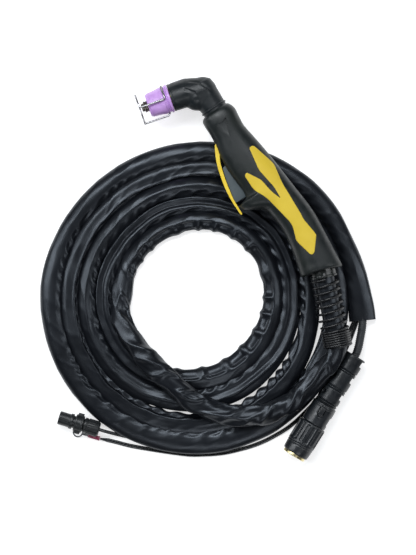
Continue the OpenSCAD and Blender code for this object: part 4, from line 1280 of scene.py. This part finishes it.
boot_profile = [(4.6, 0), (11.4, 0), (12.4, 1.0), (12.5, 3), (12.3, 6), (12.3, 57), (12.5, 59.8), (4.6, 59.8)]
boot = turned("connector_boot_sleeve", CONNECTOR, boot_profile, boot_black, 0.5, 144, boot_shape)
finish_piece(boot, "torch", "boot_rubber", "connector_boot")
HOUSING_START, LATCH_S = 60.0, 68.6


def stadium(s, across, half_long, r):
    return np.hypot(np.maximum(np.abs(s) - half_long, 0), across) - r


def housing_shape(r, angle, s):
    around = np.radians(wrapped(angle, 0)) * 13.4
    rim = stadium(s - LATCH_S, around, 2.4, 3.7)
    room = 3.2 * smooth(0.15, -0.25, stadium(s - LATCH_S, around, 2.4, 2.95))
    raised = 0.45 * bump_at(rim, 0.45)
    lines = 0.35 * bump_at(s - HOUSING_START - 2.4, 0.4) + 0.3 * bump_at(s - HOUSING_START - 4, 0.4)
    side = 0.8 * box_of(s - HOUSING_START - 15, 4.5, 0.4) * box_of(wrapped(angle, -90), 24, 2)
    return r - (room + lines + side - raised) * smooth(10, 12, r)


housing = turned("connector_housing_shell", CONNECTOR, [
    (8, 89.9), (8, 63), (4.6, 63), (4.6, 60.1), (12.6, 60.1), (13.4, 61), (13.5, 62), (13.5, 83.6), (13.1, 84.2),
    (10.85, 84.3), (10.85, 89.9)],
    connector_black, 0.35, 144, housing_shape)
finish_piece(housing, "torch", "connector_plastic", "connector_housing")
oval = rounded([(-5.2, -2.7), (5.2, -2.7), (5.2, 2.7), (-5.2, 2.7)], 2.6, 8, True)
button_low, button_high = 11.0, 14.7
cap = []
for height, shrink in ((button_low, 0), (button_high - 0.6, 0), (button_high - 0.18, 0.18), (button_high, 0.6)):
    scale = 1 - shrink / 2.7
    cap += [(height, v * scale, LATCH_S + u * scale) for u, v in oval]
button = as_object("latch_button_oval", CONNECTOR.place(cap), tube_faces(4, len(oval)), connector_black)
finish_piece(button, "latch_button", "connector_plastic", "latch_button")
NUT_START, NUT_END = 84.6, 120.6


def nut_shape(r, angle, s):
    flute = (1 - np.cos(14 * angle)) / 2
    cut = 0.95 * smooth(0.30, 0.62, flute) * box_of(s - NUT_START - 12, 9.6, 0.9)
    grooves = 0.5 * bump_at(s - NUT_START - 24.7, 0.45) + 0.4 * bump_at(s - NUT_START - 27, 0.4)
    return r - (cut + grooves) * smooth(12, 13.5, r)


nut = turned("coupling_nut_fluted", CONNECTOR, [
    (10.95, NUT_START), (13.9, NUT_START), (14.7, NUT_START + 0.8), (15, 87), (15, 108.2), (14.8, 110.4),
    (14.55, 112), (14.3, 117.5), (13.9, NUT_END - 0.3), (13.4, NUT_END), (10.95, NUT_END)],
    connector_black, 0.35, 168, nut_shape)
finish_piece(nut, "coupling_nut", "connector_plastic", "coupling_nut")
nose_profile = [(8.9, 120.9), (12.5, 120.9), (12.5, 123.4), (12.1, 123.9), (9.5, 123.9), (8.9, 123.4)]
nose = turned("connector_nose_ring", CONNECTOR, nose_profile, pale_brass, 0.25, 96)
finish_piece(nose, "torch", "pale_brass", "connector_nose")

# ---- Control plug and pilot terminal ----
PLUG = Line([-241.5, 286, FLOOR_Z + 9.5], PLUG_TURN)
back = turned("plug_back_shell_core", PLUG, [
    (1.9, 0), (6.4, 0), (7.2, 0.6), (7.8, 1.4), (7.8, 13.4), (8.2, 13.7), (8.2, 14.4), (8.5, 14.8), (8.5, 16.8),
    (1.9, 16.8)], plug_black, 0.3, 96)
finish_piece(back, "torch", "plug_plastic", "plug_back_shell")


def rib_item(name, inner, outer, half_wide, start, end, bevel):
    """One rib standing out along x, for a ring of them, in metres about the ring's own axis."""
    corners = block_corners((inner, -half_wide, start), (outer, half_wide, end))
    return bevelled(as_object(name, corners * MM, BLOCK_FACES, even_shading=False), bevel, 2)


ribs = ring_of("plug_back_shell_ribs", rib_item("rib", 7.4, 8.6, 0.85, 1.6, 13.0, 0.32), PLUG, 18, plug_black)
finish_piece(ribs, "torch", "plug_plastic")


def nose_shape(r, angle, s):
    keys = sum(0.8 * box_of(wrapped(angle, k), 9, 1.5) for k in (0, 120, 205))
    return r - keys * box_of(s - 40, 5, 0.4) * smooth(6.4, 7.0, r)


body = turned("plug_body_nose", PLUG, [
    (0, 17), (7.0, 17), (7.2, 17.6), (6.6, 17.7), (6.6, 29), (8.0, 29), (8.2, 29.4), (8.2, 32.2), (7.9, 32.5),
    (7.2, 32.6), (7.2, 44), (6.8, 44.5), (6.0, 44.5), (6.0, 35.6), (4, 35.6), (4, 44.2), (0, 44.2)],
    plug_black, 0.25, 96, nose_shape)
finish_piece(body, "torch", "plug_plastic", "plug_body")
lock = turned("plug_lock_ring_grip", PLUG, [
    (0, 18), (8.6, 18), (9.1, 18.5), (9.1, 20), (8.8, 20.4), (8.8, 24.6), (9.1, 25), (9.1, 26.5), (8.6, 27),
    (0, 27)], plug_black, 0.3, 96)
for side in (-1, 1):
    ear = box_part("ear", PLUG, (-3.3, side * 9.1 - 2.0, 19.2), (3.3, side * 9.1 + 2.0, 25.6), plug_black, 0.7)
    cut_away(lock, ear, operation="UNION")
cut_away(lock, rod("lock_bore", PLUG.origin + PLUG.z * 10, PLUG.origin + PLUG.z * 30, 6.65, 64))
finish_piece(smoothed(lock, 40), "plug_lock_ring", "plug_plastic", "plug_lock_ring")
TERMINAL = Line([-231.5, 307, FLOOR_Z + 2.4], 40.5)


def crimped(r, angle, s):
    dent = 0.55 * box_of(wrapped(angle, 0), 50, 18) * (box_of(s + 20, 1.3, 0.5) + box_of(s + 15.5, 1.3, 0.5))
    return r - dent * smooth(1.5, 2.2, r)


barrel = turned("terminal_barrel_red", TERMINAL, [
    (1.5, -24.3), (2.45, -24.3), (2.4, -22.6), (2.3, -21.8), (2.3, -12.2), (2.1, -11.3), (0, -11.3), (0, -20),
    (1.5, -20)], barrel_red, 0.25, 48, crimped)
finish_piece(barrel, "torch", "red_nylon", "terminal_barrel")

# ---- Finishes of the CAD nodes that show as they are ----
plain_finish = {
    "torch_body": brass, "gas_tube": brass, "hose_fitting": brass, "centre_contact": brass, "plug_contacts": brass,
    "o_ring": seal_black, "electrode": copper, "swirl_ring": clay, "terminal_ring": tin, "torch_hose": hose_black,
    "trigger_spring": spring_steel, "trigger_pin": spring_steel, "bush_screw": screw_steel,
    "switch_body": switch_black, "connector_insulator": switch_black, "switch_plunger": plunger_red,
}
for name, material in plain_finish.items():
    mesh = nodes[name].data
    mesh.materials.clear()
    mesh.materials.append(material)
